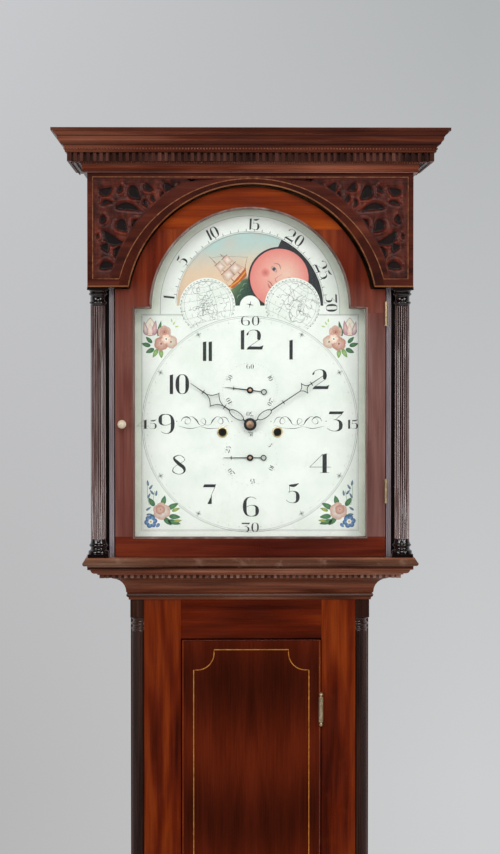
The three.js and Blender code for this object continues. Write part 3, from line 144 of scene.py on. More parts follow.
class Form:
    """The points, in millimetres, and faces of one piece, gathered part by part."""

    def __init__(self):
        self.points, self.faces, self.looks, self.tints = [], [], [], []

    def add(self, points, faces, look=0, tints=None):
        base = len(self.points)
        self.points += [tuple(p) for p in points]
        self.faces += [[base + i for i in face] for face in faces]
        self.looks += [look] * len(faces)
        self.tints += tints if tints else [(1, 1, 1)] * len(points)

    def loft(self, rings, look=0, capped=True, looped=False):
        """Skin over rings of points with equal counts."""
        count, faces = len(rings[0]), []
        for r in range(len(rings) if looped else len(rings) - 1):
            low, high = r * count, (r + 1) % len(rings) * count
            for i in range(count):
                j = (i + 1) % count
                faces.append([low + i, low + j, high + j, high + i])
        if capped and not looped:
            faces.append(list(range(count)))
            faces.append([(len(rings) - 1) * count + i for i in range(count)])
        self.add([p for ring in rings for p in ring], faces, look)

    def turned(self, profile, centre, axis="z", steps=40, look=0, radius=None, looped=False):
        """Profile of (radius, distance along the axis); radius() may reshape it by angle, for flutes."""
        cx, cy, cz = centre
        rings = []
        for r, along in profile:
            ring = []
            for i in range(steps):
                angle = 2 * math.pi * i / steps
                reach = radius(r, along, angle) if radius else r
                u, v = reach * math.cos(angle), reach * math.sin(angle)
                ring.append((cx + u, cy + v, cz + along) if axis == "z" else (cx + u, cy + along, cz + v))
            rings.append(ring)
        self.loft(rings, look, looped=looped)

    def block(self, x0, x1, y0, y1, z0, z1, look=0):
        ring = [(x0, z0), (x1, z0), (x1, z1), (x0, z1)]
        self.loft([[(x, y, z) for x, z in ring] for y in (y0, y1)], look)

    def tube(self, path, radius, sides=8, look=0, looped=False):
        """Round tube along 3-D points; radius is a number or one for each point."""
        points = [Vector(p) for p in path]
        radii = radius if isinstance(radius, list) else [radius] * len(points)
        rings, side = [], None
        for i, point in enumerate(points):
            before = points[i - 1] if i or looped else points[i]
            after = points[(i + 1) % len(points)] if i + 1 < len(points) or looped else points[i]
            ahead = (after - before).normalized()
            if side is None:
                side = ahead.orthogonal().normalized()
            side = (side - ahead * side.dot(ahead)).normalized()
            up = ahead.cross(side)
            angles = [2 * math.pi * k / sides for k in range(sides)]
            rings.append([point + (side * math.cos(a) + up * math.sin(a)) * radii[i] for a in angles])
        self.loft(rings, look, looped=looped)

    def slab(self, outline, y0, y1, holes=(), look=0, tint=None):
        """Flat plate in the dial's plane, from y0 at the front to y1 behind."""
        loops = [list(outline), *[list(hole) for hole in holes]]
        flat = [p for loop in loops for p in loop]
        triangles = tessellate_polygon([[Vector((x, z, 0)) for x, z in loop] for loop in loops])
        count = len(flat)
        faces = [list(t) for t in triangles] + [[i + count for i in t] for t in triangles]
        start = 0
        for loop in loops:
            for i in range(len(loop)):
                a, b = start + i, start + (i + 1) % len(loop)
                faces.append([a, b, b + count, a + count])
            start += len(loop)
        points = [(x, y0, z) for x, z in flat] + [(x, y1, z) for x, z in flat]
        self.add(points, faces, look, [tint] * len(points) if tint else None)

    def stroke(self, path, y0, y1, look=0, tint=None, looped=False):
        """Flat stroke along (x, z, width) points, from y0 at the front to y1 behind."""
        rings = []
        for i, (x, z, width) in enumerate(path):
            before = path[i - 1] if i or looped else path[i]
            after = path[(i + 1) % len(path)] if i + 1 < len(path) or looped else path[i]
            dx, dz = after[0] - before[0], after[1] - before[1]
            length = math.hypot(dx, dz) or 1
            nx, nz = -dz / length * width / 2, dx / length * width / 2
            left, right = (x + nx, z + nz), (x - nx, z - nz)
            rings.append([(px, y, pz) for (px, pz), y in ((left, y0), (right, y0), (right, y1), (left, y1))])
        first = len(self.points)
        self.loft(rings, look, looped=looped)
        if tint:
            self.tints[first:] = [tint] * (len(self.points) - first)

    def patch(self, outline, centre, y0, y1, edge, middle, look=0):
        """Flat painted shape whose colour runs from its middle to its edge."""
        cx, cz = centre
        count = len(outline)
        inner = [(cx + (x - cx) * 0.5, cz + (z - cz) * 0.5) for x, z in outline]
        points = [(x, y0, z) for x, z in outline] + [(x, y0, z) for x, z in inner] + [(cx, y0, cz)]
        points += [(x, y1, z) for x, z in outline]
        faces = []
        for i in range(count):
            j = (i + 1) % count
            faces += [[i, j, count + j, count + i], [count + i, count + j, 2 * count]]
            faces.append([i, j, 2 * count + 1 + j, 2 * count + 1 + i])
        halfway = tuple((a + b) / 2 for a, b in zip(edge, middle))
        self.add(points, faces, look, [edge] * count + [halfway] * count + [middle] + [edge] * count)

    def piece(self, name, body, materials, slot=None, replaces=(), crease=32, bevel=0.0):
        """Makes the object: shaded smooth up to the crease angle, riding on its body."""
        mesh = bpy.data.meshes.new(name)
        mesh.from_pydata([(x * MM, y * MM, z * MM) for x, y, z in self.points], [], self.faces)
        mesh.polygons.foreach_set("material_index", self.looks)
        tint = mesh.attributes.new("tint", "FLOAT_COLOR", "POINT")
        tint.data.foreach_set("color", [value for r, g, b in self.tints for value in (r, g, b, 1)])
        work = bmesh.new()
        work.from_mesh(mesh)
        bmesh.ops.recalc_face_normals(work, faces=work.faces)
        work.to_mesh(mesh)
        work.free()
        smooth(mesh, crease)
        made = bpy.data.objects.new(name, mesh)
        bpy.context.scene.collection.objects.link(made)
        for material in materials if isinstance(materials, (list, tuple)) else [materials]:
            mesh.materials.append(material)
        if bevel:
            round_edges(made, bevel)
        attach(made, body)
        if replaces:
            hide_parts(*replaces)
        return made


def smooth(mesh, crease):
    if "custom_normal" in mesh.attributes:
        mesh.attributes.remove(mesh.attributes["custom_normal"])
    mesh.polygons.foreach_set("use_smooth", [True] * len(mesh.polygons))
    mesh.set_sharp_from_angle(angle=math.radians(crease))


def round_edges(item, width, weld=False):
    """Edges eased by a small bevel, so that they catch the light."""
    if weld:
        item.modifiers.new("weld", "WELD").merge_threshold = 0.01 * MM
    bevel = item.modifiers.new("eased", "BEVEL")
    bevel.width, bevel.segments, bevel.limit_method = width * MM, 2, "ANGLE"
    bevel.angle_limit = math.radians(50)
    bevel.harden_normals = True


# ---------------------------------------------------------------- materials
def linear(code):
    """Linear RGB of a #rrggbb colour."""
    values = [int(code[i:i + 2], 16) / 255 for i in (1, 3, 5)]
    return tuple(v / 12.92 if v <= 0.04045 else ((v + 0.055) / 1.055) ** 2.4 for v in values)


def rgba(code):
    return (*linear(code), 1.0)


class Nodes:
    """Shorthand for building a node tree."""

    def __init__(self, tree):
        self.tree = tree

    def node(self, kind, inputs=None, **settings):
        made = self.tree.nodes.new("ShaderNode" + kind)
        for key, value in settings.items():
            setattr(made, key, value)
        for key, value in (inputs or {}).items():
            self.put(made.inputs[key], value)
        return made

    def put(self, socket, value):
        if isinstance(value, bpy.types.NodeSocket):
            self.tree.links.new(value, socket)
        else:
            socket.default_value = value

    def math(self, operation, a, b=0.0, clamp=False):
        made = self.node("Math", {0: a, 1: b}, operation=operation, use_clamp=clamp)
        return made.outputs[0]

    def total(self, *parts):
        """Sum of values, each times its weight."""
        value, weight = parts[0]
        whole = self.math("MULTIPLY", value, weight)
        for value, weight in parts[1:]:
            whole = self.math("ADD", whole, self.math("MULTIPLY", value, weight))
        return whole

    def mix(self, share, a, b, blend="MIX"):
        made = self.node("Mix", data_type="RGBA", blend_type=blend)
        self.put(made.inputs["Factor"], share)
        for socket, value in ((made.inputs[6], a), (made.inputs[7], b)):
            self.put(socket, rgba(value) if isinstance(value, str) else value)
        return made.outputs[2]

    def axes(self):
        """The X, Y and Z of the point, in the object's own metres."""
        return self.node("SeparateXYZ", {0: self.node("TexCoord").outputs["Object"]}).outputs


class Look(Nodes):
    """A material's node tree, with its Principled shader in .shader."""

    def __init__(self, name):
        self.material = bpy.data.materials.new(name)
        self.material.use_nodes = True
        super().__init__(self.material.node_tree)
        self.shader = self.tree.nodes["Principled BSDF"]

    def set(self, **inputs):
        for key, value in inputs.items():
            self.put(self.shader.inputs[key.replace("_", " ")], value)

    def place(self, scale=(1, 1, 1), offset=(0, 0, 0), axes="xyz", fold=None):
        """Object coordinates with the axes reordered, folded about a plane x = fold, moved and scaled."""
        if axes == "xyz" and fold is None:
            here = self.node("TexCoord").outputs["Object"]
        else:
            values = dict(zip("xyz", self.axes()))
            if fold is not None:
                values["x"] = self.math("ABSOLUTE", self.math("SUBTRACT", values["x"], fold * MM))
            here = self.node("CombineXYZ", {i: values[axis] for i, axis in enumerate(axes)}).outputs[0]
        return self.node("Mapping", {0: here, 1: offset, 3: scale}).outputs[0]

    def grained(self, scale, offset):
        """Coordinates whose third axis follows the run of a moulding: X on faces to the front, else Y."""
        x, y, z = self.axes()
        normal = self.node("SeparateXYZ", {0: self.node("NewGeometry").outputs["True Normal"]})
        sideways = self.math("GREATER_THAN", self.math("ABSOLUTE", normal.outputs[0]), 0.5)
        front = self.node("CombineXYZ", {0: y, 1: z, 2: x}).outputs[0]
        side = self.node("CombineXYZ", {0: x, 1: z, 2: y}).outputs[0]
        here = self.mix(sideways, front, side)
        return self.node("Mapping", {0: here, 1: offset, 3: scale}).outputs[0]

    def inside(self, x0, x1, z0, z1, fade=0):
        """1 inside an upright box of the front face, 0 outside it; its foot may fade in over some height."""
        across, _, up = self.axes()
        share = 1.0
        for value, low, high, soft in ((across, x0, x1, 0), (up, z0, z1, fade)):
            if soft:
                above = self.math("DIVIDE", self.math("SUBTRACT", value, low * MM), soft * MM, True)
            else:
                above = self.math("GREATER_THAN", value, low * MM)
            share = self.math("MULTIPLY", share, above)
            share = self.math("MULTIPLY", share, self.math("LESS_THAN", value, high * MM))
        return share

    def noise(self, where, scale, detail=3.0, rough=0.5, distortion=0.0):
        made = self.node("TexNoise", {
            "Vector": where, "Scale": scale, "Detail": detail, "Roughness": rough, "Distortion": distortion})
        return made.outputs["Fac"]

    def ramp(self, value, *stops):
        """Colours at (position, colour) stops; a colour is #rrggbb or a grey from 0 to 1."""
        made = self.node("ValToRGB", {0: value})
        elements = made.color_ramp.elements
        while len(elements) < len(stops):
            elements.new(0.5)
        for element, (position, colour) in zip(elements, sorted(stops, key=lambda stop: stop[0])):
            element.position = position
            element.color = rgba(colour) if isinstance(colour, str) else (colour, colour, colour, 1)
        return made.outputs["Color"]

    def bump(self, height, strength, distance=0.2):
        made = self.node("Bump", {"Strength": strength, "Distance": distance * MM, "Height": height})
        self.put(self.shader.inputs["Normal"], made.outputs["Normal"])


GRAIN_SQUASH = 0.06  # how much longer a wood figure is along the grain than across it


def wood(name, dark, middle, light, grain="z", seed=0, roughness=0.3, coat=0.12, wear=0.0,
         zones=(), bands=()):
    """Polished mahogany: broad figure, ribbon stripes, fine fibres and dark open pores.
    grain is the axis the fibres follow, or "run" for a moulding round three sides.
    zones are boards of their own inside one solid: ((x0, x1, z0, z1), grain, dark, middle, light).
    bands are (height, tone) stops of painted light: painted shade in a moulding's quirks and coves, painted
    highlights on its rounds."""
    look = Look(name)

    def board(axis, shift, tones):
        offset = (shift * 0.37, shift * 0.53, shift * 0.71)
        order = {"z": "xyz", "x": "zyx", "y": "xzy", "run": None}[axis]

        def where(squash):
            scale = (1, 1, squash)
            return look.grained(scale, offset) if order is None else look.place(scale, offset, order)

        broad = look.noise(where(GRAIN_SQUASH * 2), 26, 2, 0.5, 0.8)
        ribbon = look.noise(where(GRAIN_SQUASH * 0.7), 120, 3, 0.55, 0.4)
        fibre = look.noise(where(GRAIN_SQUASH * 0.4), 700, 3, 0.6)
        pores = look.noise(where(GRAIN_SQUASH * 0.35), 1900, 2, 0.6)
        tone = look.total((broad, 0.55), (ribbon, 0.3), (fibre, 0.15))
        colour = look.ramp(tone, (0.36, tones[0]), (0.5, tones[1]), (0.64, tones[2]))
        open_pore = look.math("MULTIPLY", look.math("SUBTRACT", pores, 0.56, True), 5.0, True)
        return look.mix(look.math("MULTIPLY", open_pore, 0.45), colour, tones[0]), fibre, open_pore

    colour, fibre, open_pore = board(grain, seed, (dark, middle, light))
    for number, (box, axis, *tones) in enumerate(zones):
        inside = look.inside(*box)
        colour = look.mix(inside, colour, board(axis, seed + 3.7 * (number + 1), tones)[0])
        if len(box) == 4:
            wider = look.inside(*[v + d for v, d in zip(box, (-0.3, 0.3, -0.3, 0.3))])
            seam = look.math("SUBTRACT", wider, inside, True)
            colour = look.mix(look.math("MULTIPLY", seam, 0.7), colour, dark)
    # Painted light: the bands multiply the colour by height, darkening quirks and coves as painted shade and
    # keeping rounds light as painted highlights.
    if bands:
        low, high = bands[0][0], bands[-1][0]
        share = look.node("MapRange", {0: look.axes()[2], 1: low * MM, 2: high * MM}).outputs[0]
        tone = look.ramp(share, *[((z - low) / (high - low), value) for z, value in bands])
        colour = look.mix(1.0, colour, tone, "MULTIPLY")
    if wear:
        worn = look.ramp(look.noise(look.place(), 35, 4, 0.65), (0.55, 0.0), (0.75, 1.0))
        colour = look.mix(look.math("MULTIPLY", worn, wear), colour, light)
    look.set(Base_Color=colour, Coat_Weight=coat, Coat_Roughness=0.14, Coat_IOR=1.5, Specular_IOR_Level=0.25)
    smudge = look.noise(look.place(), 18, 3, 0.6)
    rough = look.math("ADD", look.math("MULTIPLY", smudge, 0.22), roughness - 0.11)
    look.set(Roughness=look.math("ADD", rough, look.math("MULTIPLY", open_pore, 0.2)))
    look.bump(look.math("SUBTRACT", look.math("MULTIPLY", fibre, 0.4), open_pore), 0.12, 0.15)
    return look.material


def mahogany(name, grain="z", seed=0, **more):
    return wood(name, "#430f02", "#6f2104", "#9c3f0c", grain, seed, **more)


def moulded_mahogany(name, grain="run", seed=0, **more):
    """Browner mahogany of the mouldings, hazier with old polish."""
    return wood(name, "#3f170b", "#74351f", "#a25c40", grain, seed, 0.34, 0.25, **more)


def cornice_wood():
    """Its tones follow its steps, each given by its drop below the top: painted shade in the quirks and
    coves, painted highlights on the rounds.
    """
    top = Span("hood_cornice").z1
    drops = [
        (58, 0.75), (55.5, 0.6), (53, 1.0), (49, 1.0), (46.5, 0.6), (43.5, 0.5), (29.5, 0.5), (27, 0.7),
        (23.5, 0.6), (22, 0.3), (18, 0.4), (16.6, 0.9), (15.4, 0.85), (14.4, 0.5), (11.6, 0.55),
        (10.8, 0.15), (9.8, 0.2), (9, 0.6), (4.2, 0.6), (3.6, 0.35), (1.2, 0.45), (0, 0.3)]
    return wood("cornice_wood", "#43160a", "#833a20", "#ba6c4e", "run", 56, 0.36, 0.18,
                bands=[(top - drop, tone) for drop, tone in drops])


def rising_bands(node, *rises):
    """Bands for wood() from (share of the node's height, tone) stops."""
    whole = Span(node)
    return [(whole.z0 + (whole.z1 - whole.z0) * rise, tone) for rise, tone in rises]


def hood_base_wood():
    # Painted light: the bands make the top tread and a thin line low on the moulding light as painted
    # highlights, and its nose and foot dark as painted shade. The wear of 0.5 lightens it in random patches,
    # set high partly as painted light.
    bands = rising_bands("hood_base", (0, 0.3), (0.06, 0.3), (0.1, 0.9), (0.2, 0.85), (0.26, 0.5),
                         (0.75, 0.5), (0.85, 0.85), (1.0, 1.0))
    return wood("hood_base_wood", "#5e2c1a", "#a0684c", "#cca48e", "run", 55, 0.34, 0.25, 0.5, bands=bands)


def throat_wood():
    # Painted light: the bands lighten the throat moulding's rounds and the top of its cove as painted
    # highlights and darken its quirks and hollows as painted shade.
    bands = rising_bands("throat_moulding", (0, 0.5), (0.08, 0.5), (0.1, 0.3), (0.16, 0.3), (0.19, 0.85),
                         (0.34, 0.85), (0.38, 1.0), (0.45, 1.0), (0.5, 0.7), (0.64, 0.65), (0.66, 0.5),
                         (0.76, 0.6), (0.8, 0.95), (0.95, 0.9), (0.97, 0.3), (1.0, 0.3))
    return wood("throat_wood", "#5e2a17", "#a35c3e", "#d08e72", "run", 57, 0.34, 0.2, bands=bands)


def door_frame_wood():
    """The hood door's stiles, rails and arched head, each a board of its own. The stiles' greyish-pink tones,
    greyer on the right stile, are a painted sheen that fades out toward the arch; the arched head, the rail
    and the upper stiles keep plain mahogany.
    """
    left, right = DOOR.x0 - 1, DOOR.x1 + 1
    head = SIGHT_SHOULDER - 6
    joint = 2057
    arch = ("#6a2004", "#9a3a06", "#c0560c")
    rail = ("#45150b", "#6b2412", "#8a381c")
    zones = [
        ((left, right, DOOR.z0 - 1, SIGHT_BOTTOM), "x", *rail),
        # Painted sheen on the right stile; the next zone fades the stiles back to plain mahogany above.
        ((right - 27, right, SIGHT_BOTTOM, head), "z", "#6a413b", "#8c605a", "#a67f79"),
        ((left, right, head - 30, joint, 75), "z", "#58190a", "#7d2b10", "#9b441e"),
        ((left, right, joint, DOOR.z1 + 20), "x", *arch),
    ]
    return wood("hood_door_wood", "#6a342b", "#8c574c", "#ab7a6e", "z", 60, zones=zones)


def dark_mahogany(name, grain="z", seed=0, **more):
    return wood(name, "#1c100d", "#34201b", "#553c35", grain, seed, 0.28, 0.4, **more)


def crotch(name, fold, seed=0):
    """Dark veneer cut from a crotch: a feathered figure, mirrored about a joint at x = fold."""
    look = Look(name)
    offset = (seed * 0.3, seed * 0.7, seed * 0.2)
    plain = look.place((1, 1, 1), offset, "xyz", fold)
    long = look.place((1, 1, 0.12), offset, "xyz", fold)
    bend = look.node("SeparateXYZ", {0: plain})
    lift = look.math("POWER", look.math("MULTIPLY", look.math("ABSOLUTE", bend.outputs[0]), 9.0), 0.6)
    wander = look.noise(long, 11, 3, 0.55)
    ripple = look.total((bend.outputs[2], 34.0), (lift, -7.0), (wander, 9.0))
    wave = look.math("MULTIPLY", look.math("ADD", look.math("SINE", ripple), 1.0), 0.5)
    cloud = look.noise(long, 16, 4, 0.6, 0.6)
    fibre = look.noise(look.place((1, 1, 0.03), offset, "xyz", fold), 650, 3, 0.6)
    tone = look.total((wave, 0.18), (cloud, 0.6), (fibre, 0.22))
    colour = look.ramp(tone, (0.34, "#3c1104"), (0.5, "#591b07"), (0.68, "#78290c"))
    look.set(Base_Color=colour, Coat_Weight=0.12, Coat_Roughness=0.12, Specular_IOR_Level=0.3)
    look.set(Roughness=look.math("ADD", look.math("MULTIPLY", cloud, 0.2), 0.16))
    look.bump(fibre, 0.08, 0.12)
    return look.material


def pine(name, grain="z", seed=0):
    look = Look(name)
    offset = (seed * 0.41, seed * 0.23, seed * 0.67)
    order = {"z": "xyz", "x": "zyx", "y": "xzy"}[grain]
    rings = look.noise(look.place((1, 1, 0.05), offset, order), 38, 3, 0.5, 1.2)
    fibre = look.noise(look.place((1, 1, 0.02), offset, order), 800, 3, 0.6)
    dirt = look.noise(look.place((1, 1, 1), offset), 6, 5, 0.6)
    colour = look.ramp(rings, (0.35, "#5a3d22"), (0.5, "#80603a"), (0.62, "#94714a"))
    colour = look.mix(look.ramp(dirt, (0.42, 0.0), (0.7, 0.75)), colour, "#3f2c1a")
    look.set(Base_Color=colour, Roughness=look.ramp(fibre, (0.3, 0.62), (0.7, 0.85)))
    look.bump(look.math("ADD", fibre, rings), 0.35, 0.3)
    return look.material


def stringing(name, dark, middle, light):
    look = Look(name)
    tone = look.noise(look.place(), 160, 3, 0.6)
    colour = look.ramp(tone, (0.3, dark), (0.5, middle), (0.72, light))
    look.set(Base_Color=colour, Roughness=0.32, Coat_Weight=0.3, Coat_Roughness=0.12)
    look.bump(tone, 0.1, 0.05)
    return look.material


def metal(name, dark, light, roughness, tarnish=0.4, scale=90.0, bump=0.1):
    look = Look(name)
    spots = look.noise(look.place(), scale, 4, 0.62)
    haze = look.noise(look.place(), scale / 6, 3, 0.6)
    shade = look.total((spots, 0.5), (haze, 0.5))
    colour = look.ramp(shade, (0.5 - tarnish * 0.35, dark), (0.6, light))
    rough = look.math("ADD", look.math("MULTIPLY", spots, 0.25), roughness - 0.12)
    look.set(Base_Color=colour, Metallic=0.85, Roughness=rough)
    look.bump(spots, bump, 0.1)
    return look.material


def dial_paint(name, pale, deep, seed=0):
    """Old oil paint on iron: faint mottling, a fine craquelure and a soft shine."""
    look = Look(name)
    offset = (seed, seed, seed)
    mottle = look.noise(look.place((1, 1, 1), offset), 22, 4, 0.6)
    fine = look.noise(look.place((1, 1, 1), offset), 420, 3, 0.6)
    where = {"Vector": look.place((1, 1, 1), offset), "Scale": 95.0}
    cells = look.node("TexVoronoi", where, feature="DISTANCE_TO_EDGE")
    crack = look.ramp(cells.outputs["Distance"], (0.0, 1.0), (0.035, 0.0))
    colour = look.ramp(mottle, (0.35, deep), (0.62, pale))
    colour = look.mix(look.math("MULTIPLY", crack, 0.10), colour, "#8f8f80")
    colour = look.mix(look.math("MULTIPLY", fine, 0.05), colour, deep)
    look.set(Base_Color=colour, Roughness=look.ramp(fine, (0.3, 0.34), (0.7, 0.46)), Specular_IOR_Level=0.35)
    look.bump(look.math("SUBTRACT", look.math("MULTIPLY", fine, 0.3), crack), 0.08, 0.06)
    return look.material


def tinted_paint():
    """Thin brushed paint whose colour is each point's own tint."""
    look = Look("painted_ornament")
    tint = look.node("Attribute", attribute_name="tint").outputs["Color"]
    brush = look.noise(look.place((1, 1, 0.35)), 900, 3, 0.6)
    colour = look.mix(0.35, tint, look.ramp(brush, (0.3, 0.45), (0.7, 1.0)), "MULTIPLY")
    colour = look.mix(0.5, tint, colour)
    look.set(Base_Color=colour, Roughness=0.42, Specular_IOR_Level=0.3)
    look.bump(brush, 0.12, 0.05)
    return look.material


def ink(name, colour, edge):
    look = Look(name)
    worn = look.noise(look.place(), 520, 3, 0.65)
    look.set(Base_Color=look.ramp(worn, (0.35, colour), (0.75, edge)), Roughness=0.45, Specular_IOR_Level=0.3)
    look.bump(worn, 0.1, 0.04)
    return look.material


def bone_material():
    look = Look("bone")
    streak = look.noise(look.place((1, 1, 0.25)), 420, 3, 0.6)
    colour = look.ramp(streak, (0.3, "#ecd3a6"), (0.55, "#fbead0"), (0.75, "#fff6e4"))
    look.set(Base_Color=colour, Roughness=0.3, Coat_Weight=0.25, Coat_Roughness=0.15, Subsurface_Weight=0.05)
    look.shader.inputs["Subsurface Radius"].default_value = (0.003, 0.002, 0.001)
    look.bump(streak, 0.1, 0.05)
    return look.material


def glass_material():
    """Thin window glass: lamps shine through it, and it keeps a faint reflection."""
    look = Look("window_glass")
    ripple = look.noise(look.place(), 7, 2, 0.5)
    look.set(Base_Color=(0.93, 0.96, 0.94, 1), Roughness=0.02, IOR=1.45, Transmission_Weight=1.0)
    look.bump(ripple, 0.05, 0.4)
    clear = look.node("BsdfTransparent")
    lamps = look.node("LightPath").outputs["Is Shadow Ray"]
    mixed = look.node("MixShader", {0: lamps, 1: look.shader.outputs[0], 2: clear.outputs[0]})
    output = look.tree.nodes["Material Output"]
    look.tree.links.new(mixed.outputs[0], output.inputs["Surface"])
    return look.material


def gut_material():
    look = Look("gut_line")
    twist = look.noise(look.place((1, 1, 0.4)), 1400, 2, 0.6)
    look.set(Base_Color=look.ramp(twist, (0.3, "#7d5f33"), (0.7, "#b9975c")), Roughness=0.5)
    look.bump(twist, 0.3, 0.1)
    return look.material


BRASS = metal("brass", "#7d5f2c", "#c9a35a", 0.38)
PALE_BRASS = metal("pale_brass", "#b89c66", "#ffedc8", 0.4)
OLD_BRASS = metal("old_brass", "#4a3a1e", "#957640", 0.4, 0.5)
PIN_BRASS = metal("pin_brass", "#8a6a52", "#d0a58a", 0.3)
BELL_METAL = metal("bell_metal", "#6b5a3c", "#a99669", 0.3)
STEEL = metal("dark_steel", "#0d1013", "#23282d", 0.36, 0.3, 300)
BRIGHT_STEEL = metal("bright_steel", "#4a4a48", "#8d8d88", 0.35)
IRON = metal("cast_iron", "#141312", "#2c2a28", 0.62, 0.4, 260, 0.5)
STRING = stringing("boxwood_string", "#b0661f", "#d0822f", "#e89c48")
FRIEZE_STRING = stringing("frieze_string", "#6e3c20", "#955c38", "#b07a52")
PAINT = dial_paint("dial_paint", "#edeeea", "#e3e7e0")
MARGIN_PAINT = dial_paint("dial_margin_paint", "#e0e4d8", "#d2d8ca", 3)
INK = ink("black_ink", "#16191b", "#2c3133")
FAINT_INK = ink("grey_ink", "#59615e", "#868e88")
MAP_INK = ink("map_ink", "#4d5553", "#7d8580")
TINTED = tinted_paint()
BONE = bone_material()
GLASS = glass_material()
GUT = gut_material()
BLACK_WOOD = dark_mahogany("dark_wood_z", "z", 2)
BEAD_WOOD = wood("bead_wood", "#4c2216", "#7d4632", "#a8705a", "x", 76, 0.28, 0.4)
# Pale grey-pink wood of the reeded posts: a painted sheen, standing in for the reflection along their edges.
PAINTED_SHEEN_POST_WOOD = wood("post_wood_painted_sheen", "#8a7c80", "#b8acb2", "#dcd4da", "z", 77, 0.24, 0.5)
# Near-black board behind each hood column: painted shade for the recess.
PAINTED_SHADE_RECESS_WOOD = wood("recess_painted_shade", "#0c0605", "#150b09", "#24140f", "z", 79, 0.5, 0.0)
TOOTH_WOOD = wood("dentil_wood", "#2c120b", "#4d281d", "#77473a", "z", 80, 0.3, 0.2)
COLUMN_WOOD = wood("quarter_column_wood", "#1e0f0c", "#3f251d", "#66463b", "z", 78, 0.18, 0.8)


def dress(node, material, bevel=0.0, crease=40):
    """Gives a CAD node its finish."""
    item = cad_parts[node]
    item.data.materials.clear()
    item.data.materials.append(material)
    smooth(item.data, crease)
    if bevel:
        round_edges(item, bevel, weld=True)


def finish_boards():
    """The flat boards and plain metal of the CAD model keep their shape and get their finish."""
    for i, side in enumerate(("left", "right")):
        dress(f"trunk_side_{side}", mahogany(f"trunk_side_{side}_wood", "z", 11 + i), 0.6)
        dress(f"trunk_stile_{side}", mahogany(f"trunk_stile_{side}_wood", "z", 21 + i, wear=0.15), 0.4)
        dress(f"base_side_{side}", mahogany(f"base_side_{side}_wood", "z", 31 + i), 0.8)
        dress(f"hood_side_{side}", mahogany(f"hood_side_{side}_wood", "z", 41 + i), 0.5)
    dress("trunk_top_rail", mahogany("trunk_top_rail_wood", "x", 51), 0.4)
    dress("trunk_bottom_rail", mahogany("trunk_bottom_rail_wood", "x", 52), 0.4)
    dress("base_front", mahogany("base_front_wood", "z", 53), 0.8)
    dress("plinth", mahogany("plinth_wood", "run", 54, wear=0.4), 0.6)
    dress("hood_base", hood_base_wood())
    dress("hood_cornice", cornice_wood())
    dress("throat_moulding", throat_wood())
    dress("waist_moulding", moulded_mahogany("waist_wood", "run", 58))
    dress("hood_dentils", TOOTH_WOOD)
    dress("throat_dentils", wood("throat_dentil_wood", "#5a3328", "#8e6050", "#b08676", "z", 61, 0.3, 0.25))
    dress("hood_frieze", wood("frieze_wood", "#38130b", "#582214", "#763624", "x", 59, 0.32, 0.12))
    dress("hood_door", door_frame_wood(), 0.5)
    dress("trunk_door", crotch("trunk_door_veneer", TRUNK_DOOR.x, 3), 0.8)
    dress("backboard", pine("backboard_pine", "z", 1), 0.5)
    dress("seatboard", pine("seatboard_pine", "x", 2), 0.5)
    dress("hood_top_board", pine("top_board_pine", "x", 3), 0.5)
    dress("dial_mask", pine("mask_pine", "x", 4), 0.3)
    for hinge in ("trunk_hinge_upper", "trunk_hinge_lower", "hood_hinge_upper", "hood_hinge_lower"):
        dress(f"{hinge}_fixed", PALE_BRASS, 0.15)
        dress(f"{hinge}_leaf", PALE_BRASS, 0.15)
    dress("trunk_key_plate", PALE_BRASS, 0.15)
    for node in ("movement_frame", "strike_barrel", "going_barrel", "back_cock"):
        dress(node, BRASS, 0.15)
    for node in ("anchor", "hammer", "minute_hand", "hour_hand", "seconds_hand", "date_hand"):
        dress(node, STEEL, 0.1)
    dress("pendulum", OLD_BRASS, 0.2)
    dress("bell", BELL_METAL)
    for train in ("strike", "going"):
        dress(f"{train}_weight", IRON, 0.5)
        dress(f"{train}_line", GUT)
    dress("dial_plate", PAINT)
    dress("moon_disc", PAINT)
    dress("hood_glass", GLASS)
    dress("door_knob", BONE, 0.2)
    for side in ("left", "right"):
        dress(f"quarter_column_{side}", BLACK_WOOD)
        dress(f"hood_stile_{side}", BLACK_WOOD, 0.3)
        dress(f"hood_column_{side}", BLACK_WOOD)


# ---------------------------------------------------------------- hood: beads, inlay and fretwork
HOOD_FRONT = FRIEZE.y0
DOOR_FRONT = DOOR.y0
BEAD_SETBACK = 1.7  # from the edge of the sight to the middle of its bead
STRING_R = FRIEZE_ARCH_R + 15
STRING_RISE = FRIEZE.z1 - 7.4 - FRIEZE_ARCH_Z  # the string's arch is a little flat, to pass under the cornice
STRING_WIDTH = 1.25


def door_bead():
    """Half-round bead round the hood door's sight."""
    side, foot = SIGHT_HALF + BEAD_SETBACK, SIGHT_BOTTOM - BEAD_SETBACK
    shoulder, r = SIGHT_SHOULDER + BEAD_SETBACK, SIGHT_R + BEAD_SETBACK
    path = [(-side, foot), (-side, shoulder), (-r, shoulder)]
    path += [(-x, z) for x, z in arc(0, ARCH_Z, r, 0, 180, 72)][1:-1]
    path += [(r, shoulder), (side, shoulder), (side, foot)]
    form = Form()
    form.tube([(x, DOOR_FRONT + 0.3, z) for x, z in path], 1.75, 10, looped=True)
    # Greyish-pink bead wood: a painted highlight, standing in for the light caught along the bead.
    look = wood("door_bead_wood", "#5a4038", "#8a6e64", "#b39a90", "z", 71, 0.25, 0.5)
    form.piece("hood_door_bead", "hood_door", look, "mahogany", crease=60)


def inlay(path, width, y):
    """Thin closed line let into a face, standing a hair proud of it."""
    form = Form()
    form.stroke([(x, z, width) for x, z in path], y - 0.12, y + 0.3, looped=True)
    return form


def climb(z, rise):
    """Angle, in degrees, at which an arch of the frieze with this rise passes a height."""
    return math.degrees(math.asin((z - FRIEZE_ARCH_Z) / rise))


